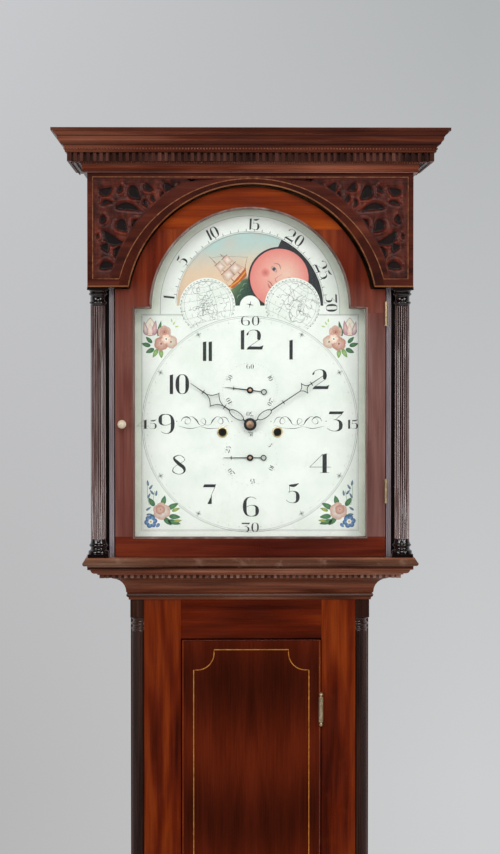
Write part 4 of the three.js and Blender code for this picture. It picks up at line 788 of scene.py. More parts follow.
def frieze_inlay():
    """The string round the frieze, in one line, and the bead along the edge of its arch."""
    side, top, foot = FRIEZE.x1 - 7.2, FRIEZE.z1 - 5.4, FRIEZE.z0 + 11.2
    low = climb(foot, STRING_RISE)
    string_arch = arc(FRIEZE_ARCH_X, FRIEZE_ARCH_Z, STRING_R, low, 180 - low, 90, STRING_RISE)
    path = [(side, top), (side, foot), *string_arch, (-side, foot), (-side, top), (-30, top), (30, top)]
    inlay(path, STRING_WIDTH, HOOD_FRONT).piece("frieze_stringing", "hood", FRIEZE_STRING, "mahogany")
    start = climb(FRIEZE.z0 + 1, FRIEZE_ARCH_R)
    edge = arc(FRIEZE_ARCH_X, FRIEZE_ARCH_Z, FRIEZE_ARCH_R + 0.9, start, 180 - start, 90)
    path = [(FRIEZE.x1 - 0.8, FRIEZE.z0 + 1.0), *edge, (FRIEZE.x0 + 0.8, FRIEZE.z0 + 1.0)]
    form = Form()
    form.tube([(x, HOOD_FRONT + 0.1, z) for x, z in path], 1.05, 8)
    look = wood("cock_bead_wood", "#5a2a14", "#8a5230", "#b07a50", "x", 72)
    form.piece("frieze_cock_bead", "hood", look, "mahogany", crease=60)


def banding():
    """Dark crossbanding between the string and the edge of the arch, its grain square to the arch."""
    look = Look("crossbanding")
    x, _, z = look.axes()
    across = look.math("SUBTRACT", x, FRIEZE_ARCH_X * MM)
    up = look.math("SUBTRACT", z, FRIEZE_ARCH_Z * MM)
    angle = look.math("ARCTAN2", across, up)
    spread = look.node("CombineXYZ", {0: angle, 1: 0.0, 2: 0.0}).outputs[0]
    fibre = look.noise(spread, 170, 3, 0.65)
    cloud = look.noise(look.place(), 30, 3, 0.5)
    tone = look.total((fibre, 0.5), (cloud, 0.5))
    look.set(Base_Color=look.ramp(tone, (0.36, "#2c0b04"), (0.5, "#481608"), (0.66, "#66280e")))
    look.set(Roughness=0.36, Coat_Weight=0.08, Coat_Roughness=0.14, Specular_IOR_Level=0.2)
    look.bump(fibre, 0.1, 0.1)
    form = Form()
    foot = FRIEZE.z0 + 2.2
    inner, outer = FRIEZE_ARCH_R + 2.0, STRING_R - 1.0
    rings = []
    for y in (HOOD_FRONT - 0.06, HOOD_FRONT + 0.2):
        ring_points = []
        for r, rise in ((inner, inner), (outer, STRING_RISE - 1.0)):
            low = climb(foot, rise)
            curve = arc(FRIEZE_ARCH_X, FRIEZE_ARCH_Z, r, low, 180 - low, 80, rise)
            ring_points.append([(x, y, z) for x, z in curve])
        rings.append(ring_points[0] + ring_points[1][::-1])
    count = len(rings[0])
    half = count // 2
    faces = [[i, i + 1, count - 2 - i, count - 1 - i] for i in range(half - 1)]
    faces += [[i, (i + 1) % count, (i + 1) % count + count, i + count] for i in range(count)]
    form.add(rings[0] + rings[1], faces)
    form.piece("frieze_crossbanding", "hood", look.material, "crotch_mahogany")


# Leaf-shaped holes sawn through the left spandrel's fret: centre x, z, length, width, clock angle, bend.
FRET_HOLES = [
    (-155.5, 2107.2, 25, 13, 145, 4), (-108.2, 2115.0, 23, 11, 118, 4), (-117.5, 2103.0, 15, 6.5, 150, 2),
    (-196.8, 2110.6, 22, 11, 70, 3), (-166.8, 2082.7, 36, 10, 100, -5), (-172.3, 2062.2, 23, 13, 150, 4),
    (-153.2, 2063.6, 18, 10, 50, -3), (-195.5, 2090.9, 18, 7, 80, -3), (-202.6, 2071.4, 15, 8, 10, 2),
    (-184.6, 2046.2, 36, 12, 118, 6), (-176.7, 2025.5, 24, 9, 42, -4), (-198.9, 2029.9, 16, 10, 140, -3),
    (-194.8, 2003.8, 25, 11, 92, -4), (-75.4, 2119.0, 16, 4.5, 100, 2), (-136.8, 2115.5, 18, 9, 128, 4),
    (-141.0, 2092.3, 15, 6, 165, 3), (-178.6, 2112.0, 14, 7, 20, 2), (-130.0, 2098.7, 15, 6, 150, 3),
    (-93.5, 2114.5, 13, 4.5, 128, 2), (-208.0, 2048.0, 10, 5, 5, 0), (-60.0, 2121.6, 11, 2.6, 95, 0),
]


def leaf_hole(x, z, length, width, degrees, bend):
    """Outline of a bent leaf, and the line of its outer edge."""
    sides = []
    for sign in (1, -1):
        side = []
        for i in range(13):
            t = i / 12
            half = sign * width * 0.62 * math.sin(math.pi * t ** 0.75) ** 0.85 if 0 < t < 1 else 0
            side.append((half + bend * (1 - (2 * t - 1) ** 2), (t - 0.5) * length))
        sides.append(turn(side, degrees, x, z))
    rib = [(px + 0.22 * (px - x), pz + 0.22 * (pz - z)) for px, pz in sides[0 if bend >= 0 else 1]]
    return sides[0] + sides[1][-2:0:-1], rib[1:-1]


def distance_to(path, x, z):
    """Distance from each point of the arrays to an open or closed polyline."""
    best = np.full(x.shape, 1e9)
    for (ax, az), (bx, bz) in zip(path, path[1:]):
        dx, dz = bx - ax, bz - az
        t = np.clip(((x - ax) * dx + (z - az) * dz) / (dx * dx + dz * dz + 1e-9), 0, 1)
        best = np.minimum(best, np.hypot(x - ax - t * dx, z - az - t * dz))
    return best


def within(path, x, z):
    """Which points of the arrays lie inside a closed polyline."""
    inside = np.zeros(x.shape, bool)
    for (ax, az), (bx, bz) in zip(path, path[1:] + path[:1]):
        crosses = (az > z) != (bz > z)
        inside ^= crosses & (x < (bx - ax) * (z - az) / (bz - az + 1e-12) + ax)
    return inside


FRET_CELL = 1.15  # spacing of the relief's points
FRET_ROWS, FRET_COLUMNS = 120, 149
FRET_DEPTH = 3.0
FRET_INSET = 8.3  # from the frieze's edge to the pocket
FRET_RIM = 3.4
FRET_REACH = FRIEZE_ARCH_R + 24.3
# The ribs' tint lightens their tops as a painted highlight.
FRET_TINT, GROUND_TINT, RIB_HIGHLIGHT_TINT = (1.0, 1.0, 1.0), (0.08, 0.06, 0.06), (1.5, 1.3, 1.2)


def fret_pocket():
    """Outline of the left-hand pocket between the frieze's corner and the arch."""
    side, ceiling = FRET_INSET - FRIEZE.x1, FRIEZE.z1 - FRET_INSET
    foot, top = FRIEZE.z0 + FRET_INSET * 1.55, FRIEZE.z1 - FRET_INSET * 0.75
    curve = arc(0, FRIEZE_ARCH_Z, FRET_REACH, climb(foot, FRET_REACH), climb(top, FRET_REACH), 24)
    return [(side, ceiling), (side, foot)] + [(-x, min(z, ceiling)) for x, z in curve if x > 44]


def carved(x, z):
    """How far each point is sunk into a hole, how far it is lifted into a rib, and its depth."""
    sunk, lifted, edge = np.zeros(x.shape), np.zeros(x.shape), np.full(x.shape, 1e9)
    ribs = []
    for hole in FRET_HOLES:
        loop, rib = leaf_hole(*hole)
        ribs.append(rib)
        gap = distance_to(loop + loop[:1], x, z)
        inside = within(loop, x, z)
        sunk = np.maximum(sunk, np.where(inside, np.clip((gap - 0.4) / 1.3, 0, 1), 0))
        edge = np.minimum(edge, np.where(inside, 0, gap))
    relief = -0.7 * np.exp(-(edge / 1.6) ** 2) + 0.25 * np.sin(x / 3.1 + z / 5.3) * np.sin(z / 3.7 - x / 6.1)
    for rib in ribs:
        gap = distance_to(rib, x, z)
        lifted = np.maximum(lifted, np.exp(-(gap / 1.5) ** 2))
        relief -= 0.45 * np.exp(-((gap - 3.0) / 0.9) ** 2)
    relief = np.where(sunk > 0, relief, relief + 0.8 * lifted)
    return sunk, lifted, np.minimum(HOOD_FRONT + 0.9 - relief + FRET_DEPTH * sunk, HOOD_FRONT + 3.8)


def fretwork():
    """Sawn and carved foliage let into the pockets of the frieze, as one relief on each side."""
    form = Form()
    rim = fret_pocket()
    x, z = np.meshgrid(-214.5 + FRET_CELL * np.arange(FRET_COLUMNS),
                       FRIEZE.z1 - 8 - FRET_CELL * np.arange(FRET_ROWS))
    kept = within(rim, x, z)
    sunk, lifted, y = carved(x, z)
    for sign in (-1, 1):
        used, points, faces, tints = {}, [], [], []

        def corner(r, c):
            if (r, c) not in used:
                used[r, c] = len(points)
                points.append((-sign * x[r, c], y[r, c], z[r, c]))
                # Painted highlight: the tops of the carved ribs are tinted lighter, then the sawn holes
                # darker.
                top = tuple(a + (b - a) * lifted[r, c] for a, b in zip(FRET_TINT, RIB_HIGHLIGHT_TINT))
                tints.append(tuple(a + (b - a) * sunk[r, c] for a, b in zip(top, GROUND_TINT)))
            return used[r, c]

        for r in range(FRET_ROWS - 1):
            for c in range(FRET_COLUMNS - 1):
                if kept[r:r + 2, c:c + 2].all():
                    faces.append([corner(r, c), corner(r, c + 1), corner(r + 1, c + 1), corner(r + 1, c)])
        form.add(points, faces, 0, tints)
        edge = [(-sign * px, pz, FRET_RIM) for px, pz in rim]
        form.stroke(edge, HOOD_FRONT + 0.15, HOOD_FRONT + 3.6, looped=True)
    form.piece("frieze_fretwork", "hood", fret_wood(), "mahogany", crease=60)


def fret_wood():
    """Carved mahogany, dark where the fret is sawn through, with a painted highlight on the tops of its ribs.
    """
    look = Look("fret_wood")
    tint = look.node("Attribute", attribute_name="tint").outputs["Color"]
    figure = look.noise(look.place((1, 1, 0.3)), 90, 4, 0.6)
    fibre = look.noise(look.place((0.1, 1, 1)), 700, 3, 0.6)
    tone = look.total((figure, 0.7), (fibre, 0.3))
    bare = look.ramp(tone, (0.36, "#2e0f08"), (0.5, "#521c10"), (0.66, "#76321e"))
    colour = look.mix(1.0, bare, tint, "MULTIPLY")
    look.set(Base_Color=colour, Roughness=0.42, Coat_Weight=0.08, Coat_Roughness=0.2, Specular_IOR_Level=0.3)
    look.bump(tone, 0.15, 0.2)
    return look.material


def beading():
    """Fine turned beading above and below the cornice's dentils, along the front and both sides."""
    cornice = Span("hood_cornice")
    form = Form()
    for reach, z, pitch, size in ((29.2, cornice.z1 - 27.2, 4.1, 1.5), (20.6, cornice.z1 - 45.6, 3.4, 1.0)):
        half, front = FRIEZE.x1 + reach, HOOD_FRONT - reach
        count = round(2 * half / pitch)
        spots = [(-half + 2 * half * i / count, front) for i in range(count + 1)]
        depth = cornice.y1 - front - 2
        count = round(depth / pitch)
        spots += [(s * half, front + depth * i / count) for s in (-1, 1) for i in range(1, count)]
        for x, y in spots:
            bead(form, x, y, z, size)
    form.piece("cornice_beading", "hood", BEAD_WOOD, "mahogany", crease=80)


def bead(form, x, y, z, r):
    rings = []
    for lift in (-0.8, 0.0, 0.8):
        reach = r * math.sqrt(1 - lift * lift)
        rings.append([(x + reach * math.cos(a), y + reach * math.sin(a), z + r * lift)
                      for a in (math.pi / 3 * k for k in range(6))])
    form.loft(rings)


# ---------------------------------------------------------------- hood columns and posts
FLUTES = 20
# Profiles of (radius, distance from the foot) and (radius, distance from the top).
COLUMN_BASE = [
    (13.6, 4.4), (14.0, 6.2), (13.8, 8.4), (12.5, 9.6), (11.2, 10.3), (10.5, 12.2), (10.9, 14.0),
    (12.2, 14.9), (12.8, 16.4), (12.2, 17.9), (11.2, 18.5), (11.0, 19.6), (10.4, 21.6)]
COLUMN_CAP = [
    (10.6, 22.6), (11.6, 21.8), (11.9, 20.6), (11.3, 19.4), (10.2, 18.8), (9.5, 16.2), (9.7, 13.2),
    (10.6, 11.2), (12.1, 10.4), (12.9, 9.0), (12.2, 7.6), (11.2, 6.9), (11.5, 5.4), (12.8, 4.3), (13.5, 3.6)]


def column_wood(side, centre, reach, low, high):
    """Black with polish in the flutes, on the cap and on the base; pale painted highlights along the shaft's
    ridges.
    """
    look = Look(f"hood_column_{side}_wood")
    x, y, z = look.axes()
    across = look.math("SUBTRACT", x, centre[0] * MM)
    deep = look.math("SUBTRACT", y, centre[1] * MM)
    away = look.math("SQRT", look.total((across, across), (deep, deep)))
    ridge = look.node("MapRange", {0: away, 1: (reach - 1.0) * MM, 2: (reach - 0.1) * MM}).outputs[0]
    above, below = look.math("GREATER_THAN", z, low * MM), look.math("LESS_THAN", z, high * MM)
    shaft = look.math("MULTIPLY", above, below)
    fibre = look.noise(look.place((1, 1, 0.04), (0, 0, 0)), 500, 3, 0.6)
    # Painted highlight: the ridges of the shaft are painted pale, standing in for the lamps' reflections on
    # them.
    light = look.ramp(fibre, (0.35, "#8a6660"), (0.6, "#c0a09c"))
    colour = look.mix(look.math("MULTIPLY", ridge, shaft), "#180c0a", light)
    look.set(Base_Color=colour, Coat_Weight=0.8, Coat_Roughness=0.08, Coat_IOR=1.6, Specular_IOR_Level=0.6)
    look.set(Roughness=look.math("ADD", look.math("MULTIPLY", fibre, 0.12), 0.14))
    look.bump(fibre, 0.02, 0.1)
    return look.material


def hood_column(side):
    """Fluted column with a turned cap and base between square blocks."""
    whole = Span(f"hood_column_{side}")
    centre = (whole.x, whole.y, whole.z0)
    height = whole.z1 - whole.z0
    half = (whole.x1 - whole.x0) / 2
    taper = [(10.2 - 0.5 * t, 25.4 + (height - 51) * t) for t in (0.25, 0.5, 0.75, 1.0)]
    shaft = [(10.1, 24.6), (10.2, 25.4), *taper, (9.75, height - 24.4)]
    profile = COLUMN_BASE + shaft + [(r, height - z) for r, z in COLUMN_CAP]
    low, high = 25.0, height - 25.2

    def fluted(r, along, angle):
        if not low < along < high:
            return r
        return r - 1.25 * max(0.0, math.cos(FLUTES * angle)) ** 0.6

    form = Form()
    form.turned([(r, z) for r, z in profile], centre, steps=FLUTES * 6, radius=fluted)
    form.block(whole.x - half, whole.x + half, whole.y0, whole.y1, whole.z0, whole.z0 + 4.6)
    form.block(whole.x - half, whole.x + half, whole.y0, whole.y1, whole.z1 - 3.8, whole.z1)
    look = column_wood(side, centre, 10.2, whole.z0 + low, whole.z0 + high)
    form.piece(f"hood_column_{side}_turned", "hood", look, "dark_mahogany",
               replaces=[f"hood_column_{side}"], crease=50)


POST_REEDS = 3


def hood_post(side):
    """Corner board behind the column with a reeded edge beside the door."""
    whole = Span(f"hood_stile_{side}")
    sign = -1 if side == "left" else 1
    inner, mid, outer = 186.5, 193.5, 219.0
    form = Form()
    form.block(*sorted((sign * mid, sign * outer)), whole.y1 - 2.5, whole.y1, whole.z0, whole.z1, look=1)
    section = [(inner, whole.y1)]
    width = (mid - inner) / POST_REEDS
    for i in range(POST_REEDS):
        cx = inner + width * (i + 0.5)
        section += [(cx - width / 2 * math.cos(a), whole.y0 + 1.1 - 1.1 * math.sin(a))
                    for a in (math.pi * k / 6 for k in range(7))]
    section.append((mid, whole.y1))
    form.loft([[(sign * x, y, z) for x, y in section] for z in (whole.z0, whole.z1)])
    # The reeded edge carries a painted sheen, and the board behind the column is near black as painted shade.
    form.piece(f"hood_post_{side}_reeded", "hood", [PAINTED_SHEEN_POST_WOOD, PAINTED_SHADE_RECESS_WOOD], "dark_mahogany",
               replaces=[f"hood_stile_{side}"], crease=50)


REEDS_PER_TURN = 40
QUARTER_R = 19  # of the square blocks at the ends of the quarter columns
QUARTER_CAP = [
    (18.9, 0.0), (18.9, 1.6), (18.2, 2.6), (17.0, 3.4), (16.4, 5.2), (16.9, 7.2), (18.1, 8.0), (18.8, 9.4),
    (18.2, 10.9), (17.0, 11.6), (16.6, 13.0), (16.9, 14.6), (17.9, 15.2), (18.2, 16.2), (17.8, 17.2),
    (17.0, 18.0)]


def quarter_column(side):
    """Quarter-round reeded column let into the trunk's corner, with turned ends and square blocks."""
    whole = Span(f"quarter_column_{side}")
    sign = -1 if side == "left" else 1
    cx, cy = sign * (abs(whole.x1 if sign > 0 else whole.x0) - QUARTER_R), whole.y0 + QUARTER_R
    foot, top, block_height, shaft_r = whole.z0, whole.z1, 25, 17.3
    ends = [*QUARTER_CAP, (shaft_r, 20), (shaft_r, 20.6)]
    profile = [(r, foot + block_height + z) for r, z in ends]
    profile += [(r, top - block_height - z) for r, z in reversed(ends)]
    low, high = foot + block_height + 20.3, top - block_height - 20.3
    steps = 60
    rings = []
    for r, z in profile:
        ring_points = [(cx, cy, z)]
        for i in range(steps + 1):
            angle = math.pi / 2 * i / steps
            reach = r
            if low < z < high:
                reach = r - 1.0 * (1 - abs(math.sin(REEDS_PER_TURN * angle / 2)))
            ring_points.append((cx + sign * reach * math.cos(angle), cy - reach * math.sin(angle), z))
        rings.append(ring_points)
    form = Form()
    form.loft(rings)
    outer = cx + sign * QUARTER_R
    for z0, z1 in ((foot, foot + block_height), (top - block_height, top)):
        form.block(*sorted((cx, outer)), cy - QUARTER_R, cy, z0, z1)
    form.piece(f"quarter_column_{side}_reeded", "case", COLUMN_WOOD, "dark_mahogany",
               replaces=[f"quarter_column_{side}"], crease=50)


# ---------------------------------------------------------------- trunk door and base
def hollow_panel(x0, x1, z0, z1, r, step):
    """Rectangle whose corners are hollow quadrants with a small step at each end."""
    path = []
    corners = ((x0, z0, 1, 1), (x1, z0, -1, 1), (x1, z1, -1, -1), (x0, z1, 1, -1))
    for corner, (cx, cz, sx, sz) in enumerate(corners):
        turned = [(cx, cz + sz * (r + step)), (cx + sx * step, cz + sz * (r + step))]
        turned += [(cx + sx * (step + r * math.sin(a)), cz + sz * (step + r * math.cos(a)))
                   for a in (math.pi / 2 * k / 14 for k in range(1, 15))]
        turned.append((cx + sx * (r + step), cz))
        path += turned if corner % 2 == 0 else turned[::-1]
    return path


def trunk_door_inlay():
    d = TRUNK_DOOR
    path = hollow_panel(d.x0 + 15.9, d.x1 - 15.9, d.z0 + 14, d.z1 - 13.8, 23.5, 4.8)
    inlay(path, STRING_WIDTH, d.y0).piece("trunk_door_stringing", "trunk_door", STRING, "crotch_mahogany")
    left, right, foot, top = d.x0 + 0.9, d.x1 - 0.9, d.z0 + 0.9, d.z1 - 0.9
    rim = [(left, foot), (right, foot), (right, top), (left, top)]
    form = Form()
    form.tube([(x, d.y0 + 0.4, z) for x, z in rim], 1.35, 10, looped=True)
    look = mahogany("trunk_bead_wood", "z", 75, wear=0.4)
    form.piece("trunk_door_cock_bead", "trunk_door", look, "mahogany", crease=60)


def base_inlay():
    """Crossbanded and strung panel on the base, like the trunk door's."""
    b = BASE
    foot = Span("plinth").z1
    path = hollow_panel(b.x0 + 34, b.x1 - 34, foot + 36, b.z1 - 34, 30, 5)
    inlay(path, 1.6, b.y0).piece("base_stringing", "case", STRING, "mahogany")
    panel = Form()
    panel.slab(hollow_panel(b.x0 + 36, b.x1 - 36, foot + 38, b.z1 - 36, 30, 5), b.y0 - 0.08, b.y0 + 0.3)
    panel.piece("base_panel_veneer", "case", crotch("base_veneer", 0, 8), "crotch_mahogany")


# ---------------------------------------------------------------- hands and small brass
def blade(points):
    """Closed frame through (along, half width) points, mirrored about the hand's own line."""
    left = [(-half, along) for along, half in reversed(points[1:-1])]
    return [(half, along) for along, half in points] + left


HAND_THICK = 1.1
PIPE_BORE = 3.2  # the hour hand's pipe, round the minute hand's arbor
# For each hand: how far its blade stands behind the tip of its arbor, the arbor's radius, and its wheels as
# (radius, teeth, front, back).
TRAINS = {
    "minute_hand": (2.0, 2.4, [(14.0, 36, -14.3, -12.8), (6.0, 12, 35.6, 39.0)]),
    "hour_hand": (0.0, 4.6, [(25.9, 72, -26.5, -25.0)]),
    "seconds_hand": (1.0, 1.4, [(18.0, 30, 3.5, 5.0)]),
    "date_hand": (1.0, 1.4, [(20.0, 31, -40.5, -39.0)]),
}


def blade_front(node):
    return Span(node).y0 + TRAINS[node][0]


def arbor_and_wheels(node, z):
    """The hand's arbor through the dial, with the brass wheels it carries."""
    whole = Span(node)
    _, r, wheels = TRAINS[node]
    form = Form()
    piped = node == "hour_hand"
    profile = [(r, whole.y0), (r, whole.y1)]
    if piped:
        profile += [(PIPE_BORE, whole.y1), (PIPE_BORE, whole.y0)]
    form.turned(profile, (0, 0, z), "y", 36, look=1, looped=piped)
    for reach, teeth, y0, y1 in wheels:
        outline = []
        for i in range(teeth):
            for part, depth in ((0.0, 1.5), (0.2, 0.0), (0.5, 0.0), (0.7, 1.5)):
                outline.append(polar(reach - depth, 360 * (i + part) / teeth, 0, z))
        bore = [arc(0, z, PIPE_BORE, 0, 360, 36)[:-1]] if piped else ()
        form.slab(outline, y0, y1, bore)
    form.piece(f"{node}_train", node, [BRASS, BRIGHT_STEEL], "brass", crease=40)


def open_hand(node, z, clock_angle, sizes):
    """Pierced steel hand: an oval loop, a hollow-sided kite and cross bars along a fine rod."""
    front = blade_front(node)
    back = front + HAND_THICK
    form = Form()

    def put(path, looped=False):
        form.stroke(turn(path, clock_angle, 0, z), front, back, looped=looped)

    for start, end, w0, w1 in sizes["rods"]:
        put([(0, start, w0), (0, end, w1)])
    if "loop" in sizes:
        a, b, half = sizes["loop"]
        around = [2 * math.pi * k / 28 for k in range(28)]
        put([(half * math.sin(t), (a + b) / 2 - (b - a) / 2 * math.cos(t), 1.05) for t in around], True)
    if "kite" in sizes:
        a, m, b, half = sizes["kite"]
        side = smooth_line([(a, 0.0), ((a + m) / 2 + 0.5, half * 0.33), (m, half)], 5)
        side += smooth_line([(m, half), ((m + b) / 2 - 0.5, half * 0.33), (b, 0.0)], 5)[1:]
        put([(x, along, 1.0) for x, along in blade(side)], True)
        for sign in (-1, 1):
            put([(sign * half, m, 1.6), (sign * (half + 1.6), m, 0.4)])
    for along, half in sizes["bars"]:
        put([(-half, along, 0.5), (0, along, 1.5), (half, along, 0.5)])
    if "tail" in sizes:
        along, r = sizes["tail"]
        around = [2 * math.pi * k / 20 for k in range(20)]
        put([(r * math.sin(t), -along + r * math.cos(t), 1.2) for t in around], True)
    form.piece(f"{node}_pierced", node, STEEL, "steel", replaces=[node], crease=30)
    arbor_and_wheels(node, z)


def hands():
    open_hand("minute_hand", DIAL_Z, 56.4, {
        "rods": [(6, 13.5, 2.4, 1.2), (34, 82.7, 1.5, 1.15), (95.5, 124, 1.3, 0.55)], "loop": (13, 35, 4.4),
        "kite": (82.5, 89.8, 97, 7.2), "bars": [(55, 3.4), (101.4, 3.4)]})
    open_hand("hour_hand", DIAL_Z, -55.4, {
        "rods": [(6, 12, 2.6, 1.4), (33.5, 46, 1.8, 1.4), (72, 99.7, 1.6, 0.6)], "loop": (11.5, 34, 4.6),
        "kite": (45.5, 59.5, 72.5, 10.3), "bars": [(42.5, 4.0), (78.5, 3.6)]})
    open_hand("seconds_hand", SECONDS_Z, 277, {
        "rods": [(-15.5, 3, 1.0, 1.4), (3, 35, 1.5, 0.5)], "bars": [(22.8, 2.6)], "tail": (19.3, 3.4)})
    open_hand("date_hand", DATE_Z, 270, {
        "rods": [(-15, 3, 1.0, 1.4), (3, 36.5, 1.5, 0.5)], "bars": [(26, 2.6)], "tail": (18.7, 3.4)})
    minute, hour = blade_front("minute_hand"), blade_front("hour_hand")
    collet = Form()
    profile = [
        (0, 1.2), (8.6, 1.2), (8.9, 0.6), (8.6, -0.5), (7.4, -1.2), (5.4, -1.4), (5.0, -1.0), (0, -1.0)]
    collet.turned(profile, (0, minute, DIAL_Z), "y", 40)
    collet.piece("minute_hand_collet", "minute_hand", STEEL, "steel", crease=40)
    boss = Form()
    profile = [(PIPE_BORE, 0), (8.2, 0), (8.2, 1.0), (PIPE_BORE, 1.0)]
    boss.turned(profile, (0, hour, DIAL_Z), "y", 40, looped=True)
    boss.piece("hour_hand_boss", "hour_hand", STEEL, "steel", crease=40)
    pin = Form()
    pin.turned([(0, 0.2), (5.0, 0.2), (5.3, -1.6), (4.6, -2.6), (2.4, -3.4), (0, -3.6)],
               (0, minute - 1.0, DIAL_Z), "y", 32)
    pin.turned([(0, 0), (1.1, 0), (1.1, -5.4), (0.6, -5.9), (0, -5.9)], (0, minute - 1.0, DIAL_Z), "y", 16)
    pin.piece("centre_pin", "minute_hand", PIN_BRASS, "brass", crease=40)
    for node, z in (("seconds_hand", SECONDS_Z), ("date_hand", DATE_Z)):
        front = blade_front(node)
        disc, centre = Form(), Form()
        disc.turned([(0, 0.6), (4.3, 0.6), (4.6, -0.1), (4.2, -0.8), (3.0, -1.0), (0, -0.9)],
                    (0, front, z), "y", 28)
        disc.piece(f"{node}_collet", node, STEEL, "steel", crease=40)
        centre.turned([(0, 0), (2.2, 0), (2.2, -1.3), (1.4, -1.8), (0, -1.9)], (0, front, z), "y", 20)
        centre.piece(f"{node}_pin", node, PIN_BRASS, "brass", crease=40)


def winding_squares():
    """Brass grommets round the winding holes, and the squared end of each arbor in its dark shoulder."""
    grommets = Form()
    for side, node in ((-1, "strike_barrel"), (1, "going_barrel")):
        x, z = side * 38, Span(node).z
        grommets.turned([(5.3, 0.4), (5.2, -0.7), (5.9, -1.5), (7.2, -1.3), (7.6, -0.3), (7.6, 0.4)],
                        (x, DIAL_FACE, z), "y", 36)
        front = Span(node).y0
        shoulder, square = Form(), Form()
        shoulder.turned([(0, 0.6), (4.25, 0.6), (4.25, -0.1), (3.9, -0.4), (0, -0.4)], (x, front, z), "y", 28)
        shoulder.piece(f"{node}_shoulder", node, STEEL, "steel")
        square.block(x - 2.4, x + 2.4, front - 1.6, front + 0.2, z - 2.4, z + 2.4)
        square.piece(f"{node}_square", node, BRIGHT_STEEL, "steel", bevel=0.3)
    grommets.piece("winding_grommets", "case", PALE_BRASS, "brass", crease=40)


def moon_screw():
    form = Form()
    form.turned([(0, 0.3), (2.2, 0.3), (2.2, -0.5), (1.6, -0.9), (0, -0.9)], (0, DISC_FACE, MOON_Z), "y", 20)
    form.piece("moon_disc_screw", "moon_disc", BRASS, "brass")


# ---------------------------------------------------------------- lettering of the dial
HAIR = 0.022  # a hairline's width, in numeral heights


def crescent(cx, cz, rx, rz, start, end, thick, weight, steps=26):
    """Pen stroke round an ellipse, heavy on the right (weight 1), the left (-1) or both sides (0)."""
    points = []
    for x, z in arc(0, 0, 1, start, end, steps):
        side = abs(x) if weight == 0 else max(0, x * weight)
        width = HAIR + thick * side ** 1.6
        points.append((cx + x * (rx - width / 2), cz + z * (rz - HAIR / 2), width))
    return points


SIX = [
    ("line", crescent(0.36, 0.5, 0.35, 0.5, 52, 300, 0.17, -1)),
    ("line", crescent(0.4, 0.29, 0.3, 0.29, 160, -160, 0.16, 1)),
]
# Each figure: its width, then pen lines of (x, z, width) and filled shapes, for a numeral one unit high.
FIGURES = {
    "0": (0.64, [("line", crescent(0.32, 0.5, 0.32, 0.5, 0, 360, 0.17, 0, 40))]),
    "1": (0.19, [("fill", [(0.01, 0), (0.18, 0), (0.18, 1.0), (0.01, 0.96)])]),
    "2": (0.74, [
        ("line", crescent(0.33, 0.69, 0.33, 0.31, 172, -40, 0.17, 1)),
        ("line", smooth_line([(0.03, 0.72, 0.05), (0.05, 0.78, 0.09), (0.1, 0.86, 0.03)], 4)),
        ("line", [(0.58, 0.5, HAIR), (0.3, 0.28, HAIR), (0.05, 0.08, HAIR)]),
        ("fill", [(0.0, 0.0), (0.7, 0.0), (0.76, 0.22), (0.62, 0.15), (0.12, 0.16)])]),
    "3": (0.68, [
        ("fill", [(0.04, 0.86), (0.62, 0.86), (0.72, 1.0), (0.08, 1.0)]),
        ("line", [(0.64, 0.88, HAIR), (0.34, 0.58, HAIR)]),
        ("line", crescent(0.3, 0.29, 0.37, 0.3, 96, -150, 0.17, 1))]),
    "4": (0.9, [
        ("fill", [(0.56, 0.0), (0.74, 0.0), (0.74, 1.0), (0.56, 0.93)]),
        ("line", [(0.58, 0.97, HAIR), (0.02, 0.3, HAIR)]), ("line", [(0.0, 0.3, HAIR), (0.92, 0.3, HAIR)]),
        ("line", [(0.46, 0.012, HAIR), (0.84, 0.012, HAIR)])]),
    "5": (0.62, [
        ("line", smooth_line(
            [(0.06, 0.9, 0.04), (0.2, 0.88, 0.13), (0.38, 0.9, 0.13), (0.56, 1.0, 0.02)], 5)),
        ("line", [(0.1, 0.9, HAIR), (0.08, 0.52, HAIR)]),
        ("line", crescent(0.24, 0.3, 0.37, 0.31, 124, -150, 0.17, 1))]),
    "6": (0.7, SIX),
    "7": (0.62, [
        ("fill", [(0.02, 0.85), (0.56, 0.85), (0.62, 1.0), (0.08, 1.0)]),
        ("line", [(0.57, 0.87, HAIR), (0.38, 0.4, HAIR)]),
        ("fill", [(0.42, 0.46), (0.22, 0.0), (0.42, 0.0)])]),
    "8": (0.66, [("line", smooth_line([
        (0.54, 0.84, 0.04), (0.34, 0.985, HAIR), (0.12, 0.84, 0.09), (0.3, 0.58, 0.17), (0.53, 0.34, 0.16),
        (0.53, 0.12, 0.07), (0.33, 0.015, HAIR), (0.09, 0.14, 0.05), (0.12, 0.36, HAIR), (0.36, 0.56, HAIR),
        (0.54, 0.7, HAIR)], 5, True))]),
    "9": (0.7, [(kind, [(0.7 - x, 1 - z, *rest) for x, z, *rest in points]) for kind, points in SIX]),
}
GLYPH_GAP = 0.1
STRETCH = {"0": 1.12, "2": 1.14, "3": 1.16, "4": 1.2, "6": 1.26, "7": 1.12, "8": 1.24, "9": 1.26}


def write(form, text, x, z, height, y0, y1, degrees=0.0, spread=1.0):
    """Numerals centred on a point and turned clockwise by degrees."""
    total = sum(FIGURES[c][0] * STRETCH.get(c, 1) for c in text) + GLYPH_GAP * (len(text) - 1)
    pen = -total / 2
    for c in text:
        width, shapes = FIGURES[c]
        wide = STRETCH.get(c, 1)
        for kind, points in shapes:
            placed = []
            for across, up, *thick in points:
                across = (pen + across * wide) * height * spread
                placed.append((across, (up - 0.5) * height, *[w * height for w in thick]))
            placed = turn(placed, degrees, x, z)
            if kind == "fill":
                form.slab(placed, y0, y1)
            else:
                form.stroke(placed, y0, y1)
        pen += width * wide + GLYPH_GAP


